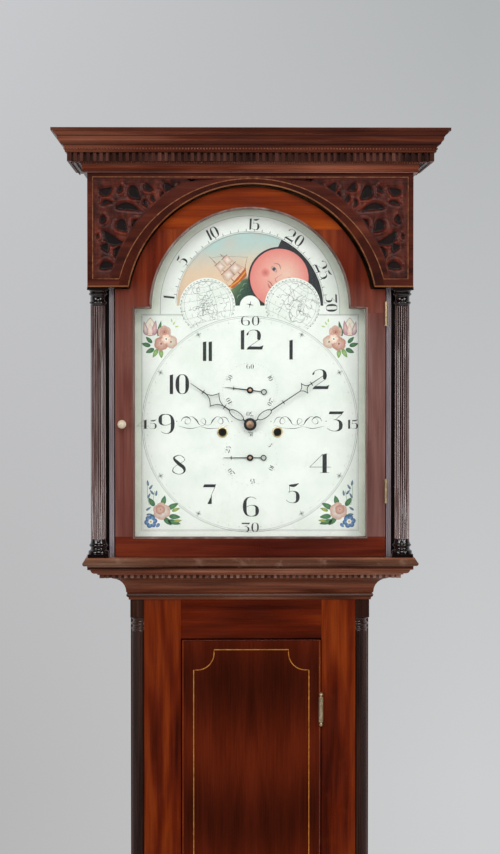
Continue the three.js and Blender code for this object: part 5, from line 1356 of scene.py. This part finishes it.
def ring(form, x, z, r, width, y0, y1, start=0.0, end=360.0, steps=120):
    path = [(px, pz, width) for px, pz in arc(x, z, r, start, end, steps)]
    whole = abs(end - start) >= 360
    form.stroke(path[:-1] if whole else path, y0, y1, looped=whole)


def dot(form, x, z, r, y0, y1, tint=None, sides=8):
    form.slab(arc(x, z, r, 0, 360, sides)[:-1], y0, y1, tint=tint)


def polar(r, degrees, x=0.0, z=0.0):
    """Point at a distance and a clock angle, clockwise from the top."""
    return x + r * math.sin(math.radians(degrees)), z + r * math.cos(math.radians(degrees))


def asterisk(form, x, z, size, y0, y1, degrees):
    for i in range(4):
        reach = size if i % 2 == 0 else size * 0.7
        a, b = polar(reach, degrees + 45 * i, x, z), polar(reach, degrees + 45 * i + 180, x, z)
        form.stroke([(*a, 0.45), (x, z, 0.8), (*b, 0.45)], y0, y1)


def coat(level):
    """Front and back of a coat of paint on the dial: higher levels lie over lower ones."""
    return DIAL_FACE - 0.05 - 0.05 * level, DIAL_FACE + 0.02


# ---------------------------------------------------------------- the dial
def hours_and_minutes():
    black, grey = Form(), Form()
    y0, y1 = coat(2)
    for hour, (x, z) in HOUR_SPOTS.items():
        write(black, str(hour), x, DIAL_Z + z, HOUR_HEIGHT, y0, y1)
    for minute in range(60):
        x, z = polar(MINUTE_R, minute * 6, 0, DIAL_Z)
        if minute % 15 == 0:
            label = str(minute or 60)
            write(black, label, x, z, MINUTE_HEIGHT, y0, y1, spread=1.25)
        elif minute % 5 == 0:
            asterisk(grey, x, z, 4.6, y0, y1, minute * 6)
        else:
            dot(grey, x, z, 0.5, *coat(1), sides=6)
    for r, width in ((CHAPTER_R, 0.45), (CHAPTER_R - 2.2, 0.3)):
        ring(grey, 0, DIAL_Z, r, width, *coat(1), steps=180)
    return black, grey


def small_dial(black, grey, z, labels, ticks):
    """Seconds or date dial: radial figures inside a ring of dots."""
    for i in range(ticks):
        angle = 360 * i / ticks
        dot(grey, *polar(SMALL_DIAL_R + 7.2, angle, 0, z), 0.42, *coat(2), sides=6)
    for label, angle in labels:
        x, y = polar(SMALL_DIAL_R + 2.2, angle, 0, z)
        write(black, label, x, y, 6.2, *coat(2), degrees=angle)


def lunar_arch(black, grey):
    for label, angle in LUNAR_FIGURES.items():
        x, z = polar(LUNAR_TEXT_R, angle, 0, MOON_Z)
        write(black, label, x, z, 15.5, *coat(2), degrees=angle)
    for day in range(1, 31):
        angle = 3.2 + (day - 15) * LUNAR_DAY
        a, b = polar(LUNAR_IN, angle, 0, MOON_Z), polar(LUNAR_IN + 3.6, angle, 0, MOON_Z)
        if abs(angle) < 89:
            black.stroke([(*a, 0.7), (*b, 0.7)], *coat(2))
    ring(grey, 0, MOON_Z, LUNAR_OUT, 0.45, *coat(1), start=2, end=178, steps=90)
    ring(black, 0, MOON_Z, LUNAR_IN, 0.35, *coat(1), start=2, end=178, steps=90)
    for x in (-LUNAR_OUT, LUNAR_OUT):
        grey.stroke([(x, MOON_Z + 4, 0.45), (x, DIAL_Z + BORDER_TOP, 0.45)], *coat(1))
    for degrees in (12, 102):
        a, b = polar(5, degrees, 0, MOON_Z + 1.5), polar(5, degrees + 180, 0, MOON_Z + 1.5)
        black.stroke([(*a, 0.3), (0, MOON_Z + 1.5, 1.3), (*b, 0.3)], *coat(2))


def borders(grey):
    """Fine double lines round the square part, stopping at the hemispheres."""
    for inset, width in ((0, 0.5), (1.6, 0.3)):
        side, top, foot = BORDER - inset, DIAL_Z + BORDER_TOP - inset, DIAL_Z - BORDER_FOOT + inset
        corners = ((-side, top), (-side, foot), (side, foot), (side, top))
        grey.stroke([(*corner, width) for corner in corners], *coat(1))
        for sign in (-1, 1):
            grey.stroke([(sign * side, top, width), (sign * (HUMP_X + HUMP_R - 5), top, width)], *coat(1))


def hemispheres():
    """Two engraved globes over the moon's humps: graticule, dotted rim and sketched coasts."""
    fine, rng = Form(), random.Random(11)
    y0, y1 = coat(1)

    def free(x, z):
        """Outside the chapter ring."""
        return math.hypot(x, z - DIAL_Z) > CHAPTER_R + 1.5

    def line(path, width, gap=False):
        for i in range(len(path) - 1):
            (ax, az), (bx, bz) = path[i], path[i + 1]
            if free(ax, az) and free(bx, bz) and not (gap and i % 2):
                fine.stroke([(ax, az, width), (bx, bz, width)], y0, y1)

    for sign, tilt in ((-1, -12), (1, 32)):
        cx, cz, r = sign * HUMP_X, MOON_Z - 1, HUMP_R - 1.6
        line([polar(r, a * 4, cx, cz) for a in range(91)], 0.75, gap=True)
        line([polar(r - 1.8, a * 5, cx, cz) for a in range(73)], 0.25)
        for step in range(-4, 5):
            bulge = math.sin(math.radians(step * 20))
            meridian = [(r * bulge * math.cos(math.radians(a)), (r - 2) * math.sin(math.radians(a)))
                        for a in range(-90, 91, 9)]
            line(turn(meridian, tilt, cx, cz), 0.28, gap=step % 2 == 0)
            chord = (r - 2) * math.cos(math.radians(step * 20))
            height = (r - 2) * math.sin(math.radians(step * 20))
            parallel = [(chord * t / 8, height - 0.12 * height * (1 - (t / 8) ** 2)) for t in range(-8, 9)]
            line(turn(parallel, tilt, cx, cz), 0.6 if step == 0 else 0.26, gap=step == 0)
        for _ in range(34):
            x, z = polar(rng.uniform(2, r - 7), rng.uniform(0, 360), cx, cz)
            heading, coast = rng.uniform(0, 360), []
            for _ in range(14):
                coast.append((x, z))
                heading += rng.uniform(-65, 65)
                x, z = polar(rng.uniform(0.9, 2.0), heading, x, z)
                if math.hypot(x - cx, z - cz) > r - 2:
                    break
            line(coast, rng.uniform(0.3, 0.5))
    return fine


def flourishes():
    """Penwork curls on each side of the centre."""
    pen = Form()
    y0, y1 = coat(2)
    curl = [
        (-33, 0, 0.3), (-30, 5, 0.9), (-24, 6.5, 1.5), (-19, 2, 0.5), (-22, -3, 0.3), (-27, -2, 0.9),
        (-26, 3, 0.3), (-18, 7, 0.4), (-11, 2, 1.7), (-7, -4, 0.5), (-1, -5, 0.3), (2, 0, 1.0),
        (-1, 4.5, 0.3), (-5, 1, 0.3), (1, -4, 0.4), (8, -4, 0.4), (12, 2, 1.6), (18, 7, 0.4),
        (25, 4, 0.9), (26, -1.5, 0.9), (22, -3, 0.3), (19, 1, 0.3), (24, 6, 0.4), (31, 5, 0.8),
        (35, -2, 0.3)]
    echo = [
        (-36, -6, 0.25), (-20, -9.5, 0.8), (-6, -7, 0.25), (6, -9.5, 0.8), (22, -8.5, 0.25), (34, -5, 0.25)]
    for x, size in ((-63, 1), (67, -1)):
        for path in (curl, echo):
            placed = [(x + px * size * 0.98, DIAL_Z + 3.5 + pz, width) for px, pz, width in path]
            pen.stroke(smooth_line(placed, 6), y0, y1)
        for sign in (-1, 1):
            dot(pen, x + sign * 38, DIAL_Z + 4, 0.7, y0, y1)
    return pen


# Paint colours of the ornament, as linear RGB.
CREAM, WHITE, PINK = linear("#f3e9d2"), linear("#f4f1ea"), linear("#efc4b4")
ROSE, CRIMSON, BROWN = linear("#dc9f8c"), linear("#a35a58"), linear("#8a5a48")
LEAF, PALE_LEAF, DEEP_LEAF = linear("#5f9150"), linear("#b7cd80"), linear("#2d6149")
BLUE, PALE_BLUE, SLATE = linear("#24528f"), linear("#8fb2d2"), linear("#3a4c5a")
YELLOW, PURPLE = linear("#d9b94a"), linear("#b08098")


def petal(form, x, z, length, width, degrees, edge, middle, level=3, point=0.6):
    """Leaf or petal growing from (x, z) along a clock angle."""
    shape = []
    for i in range(17):
        t = i / 16
        half = width / 2 * math.sin(math.pi * t ** point) ** 0.8 if 0 < t < 1 else 0
        shape.append((half, t * length))
    outline = shape + [(-w, h) for w, h in reversed(shape[1:-1])]
    y0, y1 = coat(level)
    form.patch(turn(outline, degrees, x, z), polar(length / 2, degrees, x, z), y0, y1, edge, middle)


def leaf(form, x, z, length, width, degrees, edge, middle, level=3):
    petal(form, x, z, length, width, degrees, edge, middle, level, 0.75)
    y0, y1 = coat(level + 1)
    a, b = polar(length * 0.08, degrees, x, z), polar(length * 0.9, degrees, x, z)
    form.stroke([(*a, 0.5), (*b, 0.12)], y0, y1, tint=edge)


def rose(form, x, z, r, outer, inner, heart, seed=0, level=4):
    """Rings of round petals, each shaded toward its rim, round a dark heart."""
    rng = random.Random(seed)
    for ring_index, (reach, count, size) in enumerate(((0.56, 6, 0.5), (0.36, 5, 0.42), (0.14, 3, 0.32))):
        shade = tuple(a + (b - a) * ring_index / 2 for a, b in zip(outer, inner))
        for i in range(count):
            angle = 360 * i / count + rng.uniform(-12, 12) + 25 * ring_index
            px, pz = polar(r * reach, angle, x, z)
            turned = turn(arc(0, 0, r * size, 0, 360, 14, r * size * 0.82)[:-1], angle, px, pz)
            edge = tuple(v * 0.66 for v in shade)
            lift = level + ring_index + 0.12 * i
            form.patch(turned, polar(-r * size * 0.25, angle, px, pz), *coat(lift), edge, shade)
    dot(form, x, z, r * 0.15, *coat(level + 3.2), tint=heart)


def daisy(form, x, z, r, edge, middle, eye, level=4):
    for i in range(6):
        px, pz = polar(r * 0.58, 60 * i + 20, x, z)
        turned = turn(arc(0, 0, r * 0.4, 0, 360, 12, r * 0.42)[:-1], 60 * i + 20, px, pz)
        form.patch(turned, polar(-r * 0.2, 60 * i + 20, px, pz), *coat(level + 0.1 * i), edge, middle)
    dot(form, x, z, r * 0.36, *coat(level + 1), tint=WHITE, sides=14)
    dot(form, x, z, r * 0.17, *coat(level + 2), tint=eye, sides=12)


def tulip(form, x, z, sign):
    petal(form, x, z - 13, 25.5, 19.6, 0, BROWN, BROWN, 3, 0.55)
    petal(form, x, z - 12.2, 24, 18, 0, CREAM, WHITE, 4, 0.55)
    petal(form, x + sign * 4.4, z - 12, 21, 7.4, sign * 9, PURPLE, PINK, 5, 0.6)
    petal(form, x - sign * 4.6, z - 12, 20, 6.4, -sign * 12, PURPLE, CREAM, 5, 0.6)
    petal(form, x, z - 12, 18, 6.5, 0, PINK, WHITE, 6, 0.6)


def top_corner(form, sign):
    """Tulip and roses in an upper corner."""
    def at(x, z):
        return sign * x, DIAL_Z + z

    leaf(form, *at(-137, 108), 13, 6, sign * -75, DEEP_LEAF, LEAF)
    leaf(form, *at(-132, 104), 13, 6.5, sign * -115, DEEP_LEAF, LEAF)
    leaf(form, *at(-127, 104), 14, 6, sign * -150, LEAF, PALE_LEAF)
    leaf(form, *at(-123, 103), 12, 6, sign * 175, LEAF, PALE_LEAF)
    leaf(form, *at(-135, 112), 12, 5.5, sign * -45, DEEP_LEAF, LEAF)
    leaf(form, *at(-127, 121), 22, 5, sign * 12, DEEP_LEAF, LEAF)
    tulip(form, *at(-137.5, 134.5), sign)
    rose(form, *at(-118, 127), 9.6, PINK, ROSE, CRIMSON, 3, 5)
    rose(form, *at(-109, 113.5), 9.4, PINK, CREAM, CRIMSON, 4, 6)
    rose(form, *at(-122.5, 111), 10.2, ROSE, PINK, CRIMSON, 5, 7)
    daisy(form, *at(-115.5, 117.5), 6.8, PINK, CREAM, SLATE, 9)
    for x, z, angle in ((-106, 137, 30), (-103.5, 134, 75), (-108, 140.5, 0)):
        leaf(form, *at(x, z), 5.5, 2, sign * angle, PALE_LEAF, PALE_LEAF)


def bottom_corner(form, sign):
    """Rose and blue flower in a lower corner."""
    def at(x, z):
        return sign * x, DIAL_Z + z

    for x, z, length, angle in ((-132, -113, 14, -35), (-121, -112, 14, 15), (-114, -117, 17, 62),
                                (-112, -127, 16, 95), (-114, -133, 19, 105), (-119, -129, 15, 135),
                                (-131, -126, 12, -120)):
        leaf(form, *at(x, z), length, 7, sign * angle, DEEP_LEAF, LEAF)
    leaf(form, *at(-108, -120), 12, 4.5, sign * 70, LEAF, YELLOW, 5)
    leaf(form, *at(-106, -134), 12, 4, sign * 85, LEAF, YELLOW, 5)
    rose(form, *at(-122, -120), 12.6, PINK, WHITE, ROSE, 8, 5)
    rose(form, *at(-124, -118), 7, ROSE, PINK, CRIMSON, 9, 8)
    daisy(form, *at(-137, -134.5), 9.2, BLUE, PALE_BLUE, YELLOW, 6)
    leaf(form, *at(-125, -137), 7, 4.5, sign * -140, BLUE, PALE_BLUE, 5)
    for path in ([(-139, -112), (-141.5, -98), (-141, -80)], [(-134, -110), (-133, -100), (-131.5, -92)]):
        stem = [(*at(x, z), 0.5) for x, z in path]
        form.stroke(smooth_line(stem, 5), *coat(2), tint=LEAF)
    for x, z, angle in ((-140.5, -85, -8), (-139, -90, 35), (-130, -99, 10), (-133, -97, -40),
                        (-141.5, -102, 30), (-143.5, -119, 55), (-143, -125, 85)):
        leaf(form, *at(x, z), 8, 3, sign * angle, SLATE, PALE_BLUE, 4)


def dial_margin():
    """Pale green-grey band outside the border lines, up to the dial's edge."""
    form = Form()
    y0, y1 = coat(0)
    outer_half, outer_r, foot = DIAL_HALF - 0.4, 139.6, DIAL.z0 + 0.4
    inner_half, inner_r = BORDER + 0.4, LUNAR_OUT + 0.4
    inner_foot, inner_top = DIAL_Z - BORDER_FOOT - 0.4, DIAL_Z + BORDER_TOP + 0.4
    outer = [(outer_half, foot), (outer_half, DIAL_Z + 164), (math.sqrt(outer_r ** 2 - 1), DIAL_Z + 164.4)]
    outer += arc(0, MOON_Z, outer_r, 1, 179, 60)[1:]
    outer += [(-outer_half, DIAL_Z + 164), (-outer_half, foot)]
    inner = [(inner_half, inner_foot), (inner_half, inner_top), (inner_r, inner_top)]
    inner += arc(0, MOON_Z, inner_r, 0, 180, 60)
    inner += [(-inner_r, inner_top), (-inner_half, inner_top), (-inner_half, inner_foot)]
    form.slab(outer + inner[::-1], y0, y1)
    form.piece("dial_margin_paint", "case", MARGIN_PAINT, "dial_paint")


def dial_painting():
    black, grey = hours_and_minutes()
    seconds = [(str(n or 60), n * 6) for n in range(0, 60, 10)]
    dates = [(str(n), (n - 31) * 360 / 31) for n in (5, 10, 15, 20, 25, 31)]
    small_dial(black, grey, SECONDS_Z, seconds, 60)
    small_dial(black, grey, DATE_Z, dates, 31)
    lunar_arch(black, grey)
    borders(grey)
    colours = Form()
    for sign in (1, -1):
        top_corner(colours, sign)
        bottom_corner(colours, sign)
    dial_margin()
    black.piece("dial_figures", "case", INK, "dial_paint")
    flourishes().piece("dial_flourishes", "case", INK, "dial_paint")
    grey.piece("dial_lines", "case", FAINT_INK, "dial_paint")
    hemispheres().piece("dial_hemispheres", "case", MAP_INK, "dial_paint")
    colours.piece("dial_flowers", "case", TINTED, "dial_paint")


# ---------------------------------------------------------------- the moon's disc
def sector(form, start, end, colour):
    """Part of the disc between two clock angles, tinted by colour(u, v): u across, v outward."""
    middle = (start + end) / 2
    radii = [0.01, 12, 24, 33, 36, 42, 52, 64, 78, 92, 104, DISC_R]
    steps = 26
    points, tints, faces = [], [], []
    for r in radii:
        for i in range(steps + 1):
            angle = start + (end - start) * i / steps
            x, z = polar(r, angle, 0, MOON_Z)
            points.append((x, DISC_FACE - 0.04, z))
            away = math.radians(angle - middle)
            tints.append(colour(r * math.sin(away), r * math.cos(away)))
    for row in range(len(radii) - 1):
        for i in range(steps):
            a = row * (steps + 1) + i
            faces.append([a, a + 1, a + steps + 2, a + steps + 1])
    count = len(points)
    back = [(x, DISC_FACE + 0.02, z) for x, _, z in points]
    edge = list(range(count - steps - 1, count))
    faces += [[a, b, b + count, a + count] for a, b in zip(edge, edge[1:])]
    form.add(points + back, faces, 0, tints + tints)


def between(a, b, t):
    t = min(max(t, 0), 1)
    t = t * t * (3 - 2 * t)
    return tuple(x + (y - x) * t for x, y in zip(a, b))


def sea_and_sky(u, v):
    sky_high, sky_low, cloud = linear("#b4cbc8"), linear("#e2c4a8"), linear("#dcae9a")
    sea, shallows = linear("#1f3d33"), linear("#6f8a5c")
    if v < 34:
        return between(sea, shallows, (v - 14) / 30 - u / 90)
    sky = between(sky_low, sky_high, (v - 60) / 44 + u / 70)
    drift = math.sin(u / 11 + v / 17) * math.sin(v / 9 - u / 23)
    return between(sky, cloud, max(0, drift) * 0.4)


def evening(_, v):
    ground, wood_line, sky = linear("#2c3526"), linear("#1f2420"), linear("#33383c")
    return between(ground, wood_line, v / 40) if v < 45 else between(wood_line, sky, (v - 45) / 20)


def moon_face(form, angle):
    """Round moon with a plain sleepy face, on a dark rim."""
    cx, cz = polar(MOON_REACH, angle, 0, MOON_Z)
    night, rim, deep, light = (linear(c) for c in ("#23262b", "#bf6a60", "#e2827a", "#ecc4b2"))
    front = DISC_FACE - 0.25

    def disc(r, y, edge, middle, dx=0.0, dz=0.0):
        outline = arc(cx, cz, r, 0, 360, 48)[:-1]
        form.patch(outline, (cx + dx, cz + dz), y, DISC_FACE + 0.02, edge, middle)

    disc(MOON_R + 2.6, front + 0.06, night, night)
    disc(MOON_R, front, deep, light, 11, 5)

    def face(path, tint, y):
        placed = turn([(x, z, w) for x, z, w in path], angle, cx, cz)
        form.stroke(smooth_line(placed, 6), y, front + 0.02, tint=tint)

    for sign in (-1, 1):
        face([(sign * 20, 8, 0.3), (sign * 14, 12.4, 1.1), (sign * 7, 9.5, 0.3)], BROWN, front - 0.06)
        face([(sign * 19, 3, 0.3), (sign * 14, 5.4, 0.8), (sign * 8, 3, 0.3)], SLATE, front - 0.06)
        face([(sign * 19, 3, 0.3), (sign * 14, 0.8, 0.5), (sign * 8, 3, 0.3)], BROWN, front - 0.06)
        eye = turn([(sign * 14, 3)], angle, cx, cz)[0]
        form.slab(arc(*eye, 2.3, 0, 360, 16)[:-1], front - 0.05, front, tint=SLATE)
        blush = turn([(sign * 19, -9)], angle, cx, cz)[0]
        form.patch(arc(*blush, 6.5, 0, 360, 24)[:-1], blush, front - 0.03, front, linear("#ec938a"), rim)
    face([(-1.5, 6, 0.3), (-3, -4, 0.7), (0.6, -6.4, 0.8), (3.4, -5, 0.3)], rim, front - 0.06)
    lips = [(-9, -14.5, 0.3), (-3.4, -13.2, 1.4), (0, -14.2, 1.2), (3.4, -13.2, 1.4), (9, -14.5, 0.3)]
    face(lips, CRIMSON, front - 0.06)
    face([(-6.5, -16, 0.3), (0, -18.2, 2.4), (6.5, -16, 0.3)], rim, front - 0.05)


def stars(form, start, end, seed):
    rng = random.Random(seed)
    for _ in range(16):
        x, z = polar(rng.uniform(60, 106), rng.uniform(start, end), 0, MOON_Z)
        form.slab(arc(x, z, rng.uniform(0.4, 0.8), 0, 360, 5)[:-1], DISC_FACE - 0.16, DISC_FACE, tint=YELLOW)


def sloop(form, angle):
    """A small two-masted ship on the sea."""
    front = DISC_FACE - 0.2

    def at(points):
        return turn(points, angle, 0, MOON_Z)

    hull, stripe, line, sail = linear("#b4522a"), linear("#e09a33"), linear("#7c4a3c"), linear("#efe3d8")
    outline = at([(-4, 41), (-1, 33.5), (25, 33), (32, 43), (28, 42), (0, 39)])
    form.slab(outline, front - 0.03, DISC_FACE, tint=hull)
    form.stroke(at([(-2, 37.8, 1.7), (12, 36.2, 1.7), (28, 38.4, 1.7)]), front - 0.07, front, tint=stripe)
    for x, top in ((7, 88), (20, 80)):
        form.stroke(at([(x, 37, 1.0), (x - 1.5, top, 0.5)]), front - 0.05, DISC_FACE, tint=line)
        for foot, head, half in ((45, 58, 7.4), (61, 73, 5.6)):
            if head < top - 4:
                shape = [(x - half, foot), (x + half, foot), (x + half * 0.8, head), (x - half * 0.8, head)]
                middle = (x + 1, (foot + head) / 2)
                form.patch(at(shape), at([middle])[0], front - 0.07, DISC_FACE, linear("#c9a08c"), sail)
                yard = at([(x - half, head, 0.7), (x + half, head, 0.7)])
                form.stroke(yard, front - 0.1, DISC_FACE, tint=line)
    form.stroke(at([(30, 42, 0.7), (44, 52, 0.3)]), front - 0.05, DISC_FACE, tint=line)
    for a, b in (((43, 51), (19, 76)), ((-3, 41), (6, 82)), ((30, 42), (19, 79)), ((7, 84), (19, 76))):
        form.stroke(at([(*a, 0.3), (*b, 0.3)]), front - 0.04, DISC_FACE, tint=line)
    for k in range(9):
        u = -30 + 8 * k
        wave = [(u, 20 + 3 * (k % 3), 0.3), (u + 4, 21.6 + 3 * (k % 3), 0.9), (u + 8, 20 + 3 * (k % 3), 0.3)]
        form.stroke(at(wave), front + 0.02, DISC_FACE, tint=linear("#7fa085"))


def moon_painting():
    form = Form()
    for half in (0, 180):
        sector(form, NIGHT_START + half, NIGHT_END + half, lambda *_: linear("#26282d"))
        stars(form, NIGHT_START + half, NIGHT_END + half, 5 + half)
    sector(form, NIGHT_END - 180, NIGHT_START, sea_and_sky)
    sector(form, NIGHT_END, NIGHT_START + 180, evening)
    sloop(form, SCENE_ANGLE)
    for half in (0, 180):
        moon_face(form, MOON_ANGLE + half)
    form.piece("moon_disc_painting", "moon_disc", TINTED, "dial_paint")


# ---------------------------------------------------------------- stage, lamps and camera
AMBIENT = 0.5  # strength of the world's light on the object


def backdrop():
    """A pale grey studio, seen by the camera and in gloss, with a dark room behind the camera in gloss."""
    world = bpy.data.worlds.new("studio")
    bpy.context.scene.world = world
    world.use_nodes = True
    world.node_tree.nodes.clear()
    studio = Nodes(world.node_tree)
    way = studio.node("SeparateXYZ", {0: studio.node("TexCoord").outputs["Generated"]})
    across, ahead, up = way.outputs

    def share(value, slope, start):
        """Runs from 0 to 1 with a direction."""
        return studio.math("ADD", studio.math("MULTIPLY", value, slope), start, True)

    height, side = share(up, 3.0, 0.5), share(across, 5.0, 0.5)
    upper = studio.mix(side, "#cccdd0", "#afb2b3")
    lower = studio.mix(side, "#b5b4b5", "#cdcecf")
    pale = studio.mix(height, lower, upper)
    room = studio.mix(share(ahead, 1.4, 0.35), "#060505", "#b4b6b8")
    rays = studio.node("LightPath").outputs
    seen = studio.math("ADD", rays["Is Camera Ray"], rays["Is Transmission Ray"], True)
    glossy = rays["Is Glossy Ray"]
    colour = studio.mix(seen, studio.mix(glossy, "#c0c0c0", room), pale)
    full = studio.math("ADD", seen, glossy, True)
    strength = studio.math("ADD", studio.math("MULTIPLY", full, 1 - AMBIENT), AMBIENT)
    background = studio.node("Background", {0: colour, 1: strength})
    studio.put(studio.node("OutputWorld").inputs[0], background.outputs[0])


def floor():
    """A plain pale floor whose edge fades into the backdrop."""
    form = Form()
    angles = [a * math.pi / 48 for a in range(96)]
    radii = (1, 800, 1600, 2400, 3200)
    form.loft([[(r * math.cos(a), r * math.sin(a), -0.5) for a in angles] for r in radii], capped=False)
    look = Look("studio_floor")
    grain = look.noise(look.place(), 3, 4, 0.6)
    look.set(Base_Color=look.ramp(grain, (0.3, "#d4d5d6"), (0.7, "#dadbdc")), Roughness=0.7)
    here = look.node("TexCoord").outputs["Object"]
    radius = look.node("VectorMath", {0: here}, operation="LENGTH").outputs["Value"]
    fade = look.node("MapRange", {0: radius, 1: 1.6, 2: 3.0})
    clear = look.node("BsdfTransparent")
    mixed = look.node("MixShader", {0: fade.outputs[0], 1: look.shader.outputs[0], 2: clear.outputs[0]})
    look.tree.links.new(mixed.outputs[0], look.tree.nodes["Material Output"].inputs["Surface"])
    mesh = bpy.data.meshes.new("floor")
    mesh.from_pydata([(x * MM, y * MM, z * MM) for x, y, z in form.points], [], form.faces)
    mesh.materials.append(look.material)
    made = bpy.data.objects.new("floor", mesh)
    bpy.context.scene.collection.objects.link(made)


LAMPS = {  # azimuth, height, distance, size, watts
    "key_left": (-42, 2.1, 2.6, 1.1, 12.3),
    "key_right": (38, 2.1, 2.6, 1.1, 10.8),
    "front": (2, 4.4, 4.0, 2.0, 45.5),
    "glint_left": (-34, 2.7, 2.6, 0.3, 2.6),
    "glint_right": (44, 2.7, 2.5, 0.3, 4.4),
}
LAMP_AIM = 1.7  # height that every lamp points at


def lamp(name, azimuth, height, distance, size, watts):
    """Square soft light round the clock; azimuth 0 is in front of it and grows to the right."""
    data = bpy.data.lights.new(name, "AREA")
    data.shape, data.size, data.energy = "SQUARE", size, watts
    made = bpy.data.objects.new(name, data)
    angle = math.radians(azimuth)
    made.location = (distance * math.sin(angle), -distance * math.cos(angle), height)
    made.rotation_euler = (Vector((0, 0, LAMP_AIM)) - made.location).to_track_quat("-Z", "Y").to_euler()
    bpy.context.scene.collection.objects.link(made)


CAMERA = {"place": (-0.056, -3.61, 1.895), "pitch": -1.75, "yaw": -0.90, "focal_px": 2583}
FRAME_HEIGHT_PX, SENSOR = 854, 36


def camera():
    data = bpy.data.cameras.new("camera")
    data.sensor_width = SENSOR
    data.lens = CAMERA["focal_px"] / FRAME_HEIGHT_PX * SENSOR
    data.dof.use_dof = False
    made = bpy.data.objects.new("camera", data)
    made.location = CAMERA["place"]
    made.rotation_euler = (math.radians(90 + CAMERA["pitch"]), 0, math.radians(CAMERA["yaw"]))
    bpy.context.scene.collection.objects.link(made)
    bpy.context.scene.camera = made


bpy.context.scene.view_settings.view_transform = "Standard"
camera()
backdrop()
floor()
for lamp_name, lamp_settings in LAMPS.items():
    lamp(lamp_name, *lamp_settings)
finish_boards()
door_bead()
frieze_inlay()
banding()
fretwork()
beading()
for side in ("left", "right"):
    hood_column(side)
    hood_post(side)
    quarter_column(side)
trunk_door_inlay()
base_inlay()
hands()
winding_squares()
dial_painting()
moon_painting()
moon_screw()
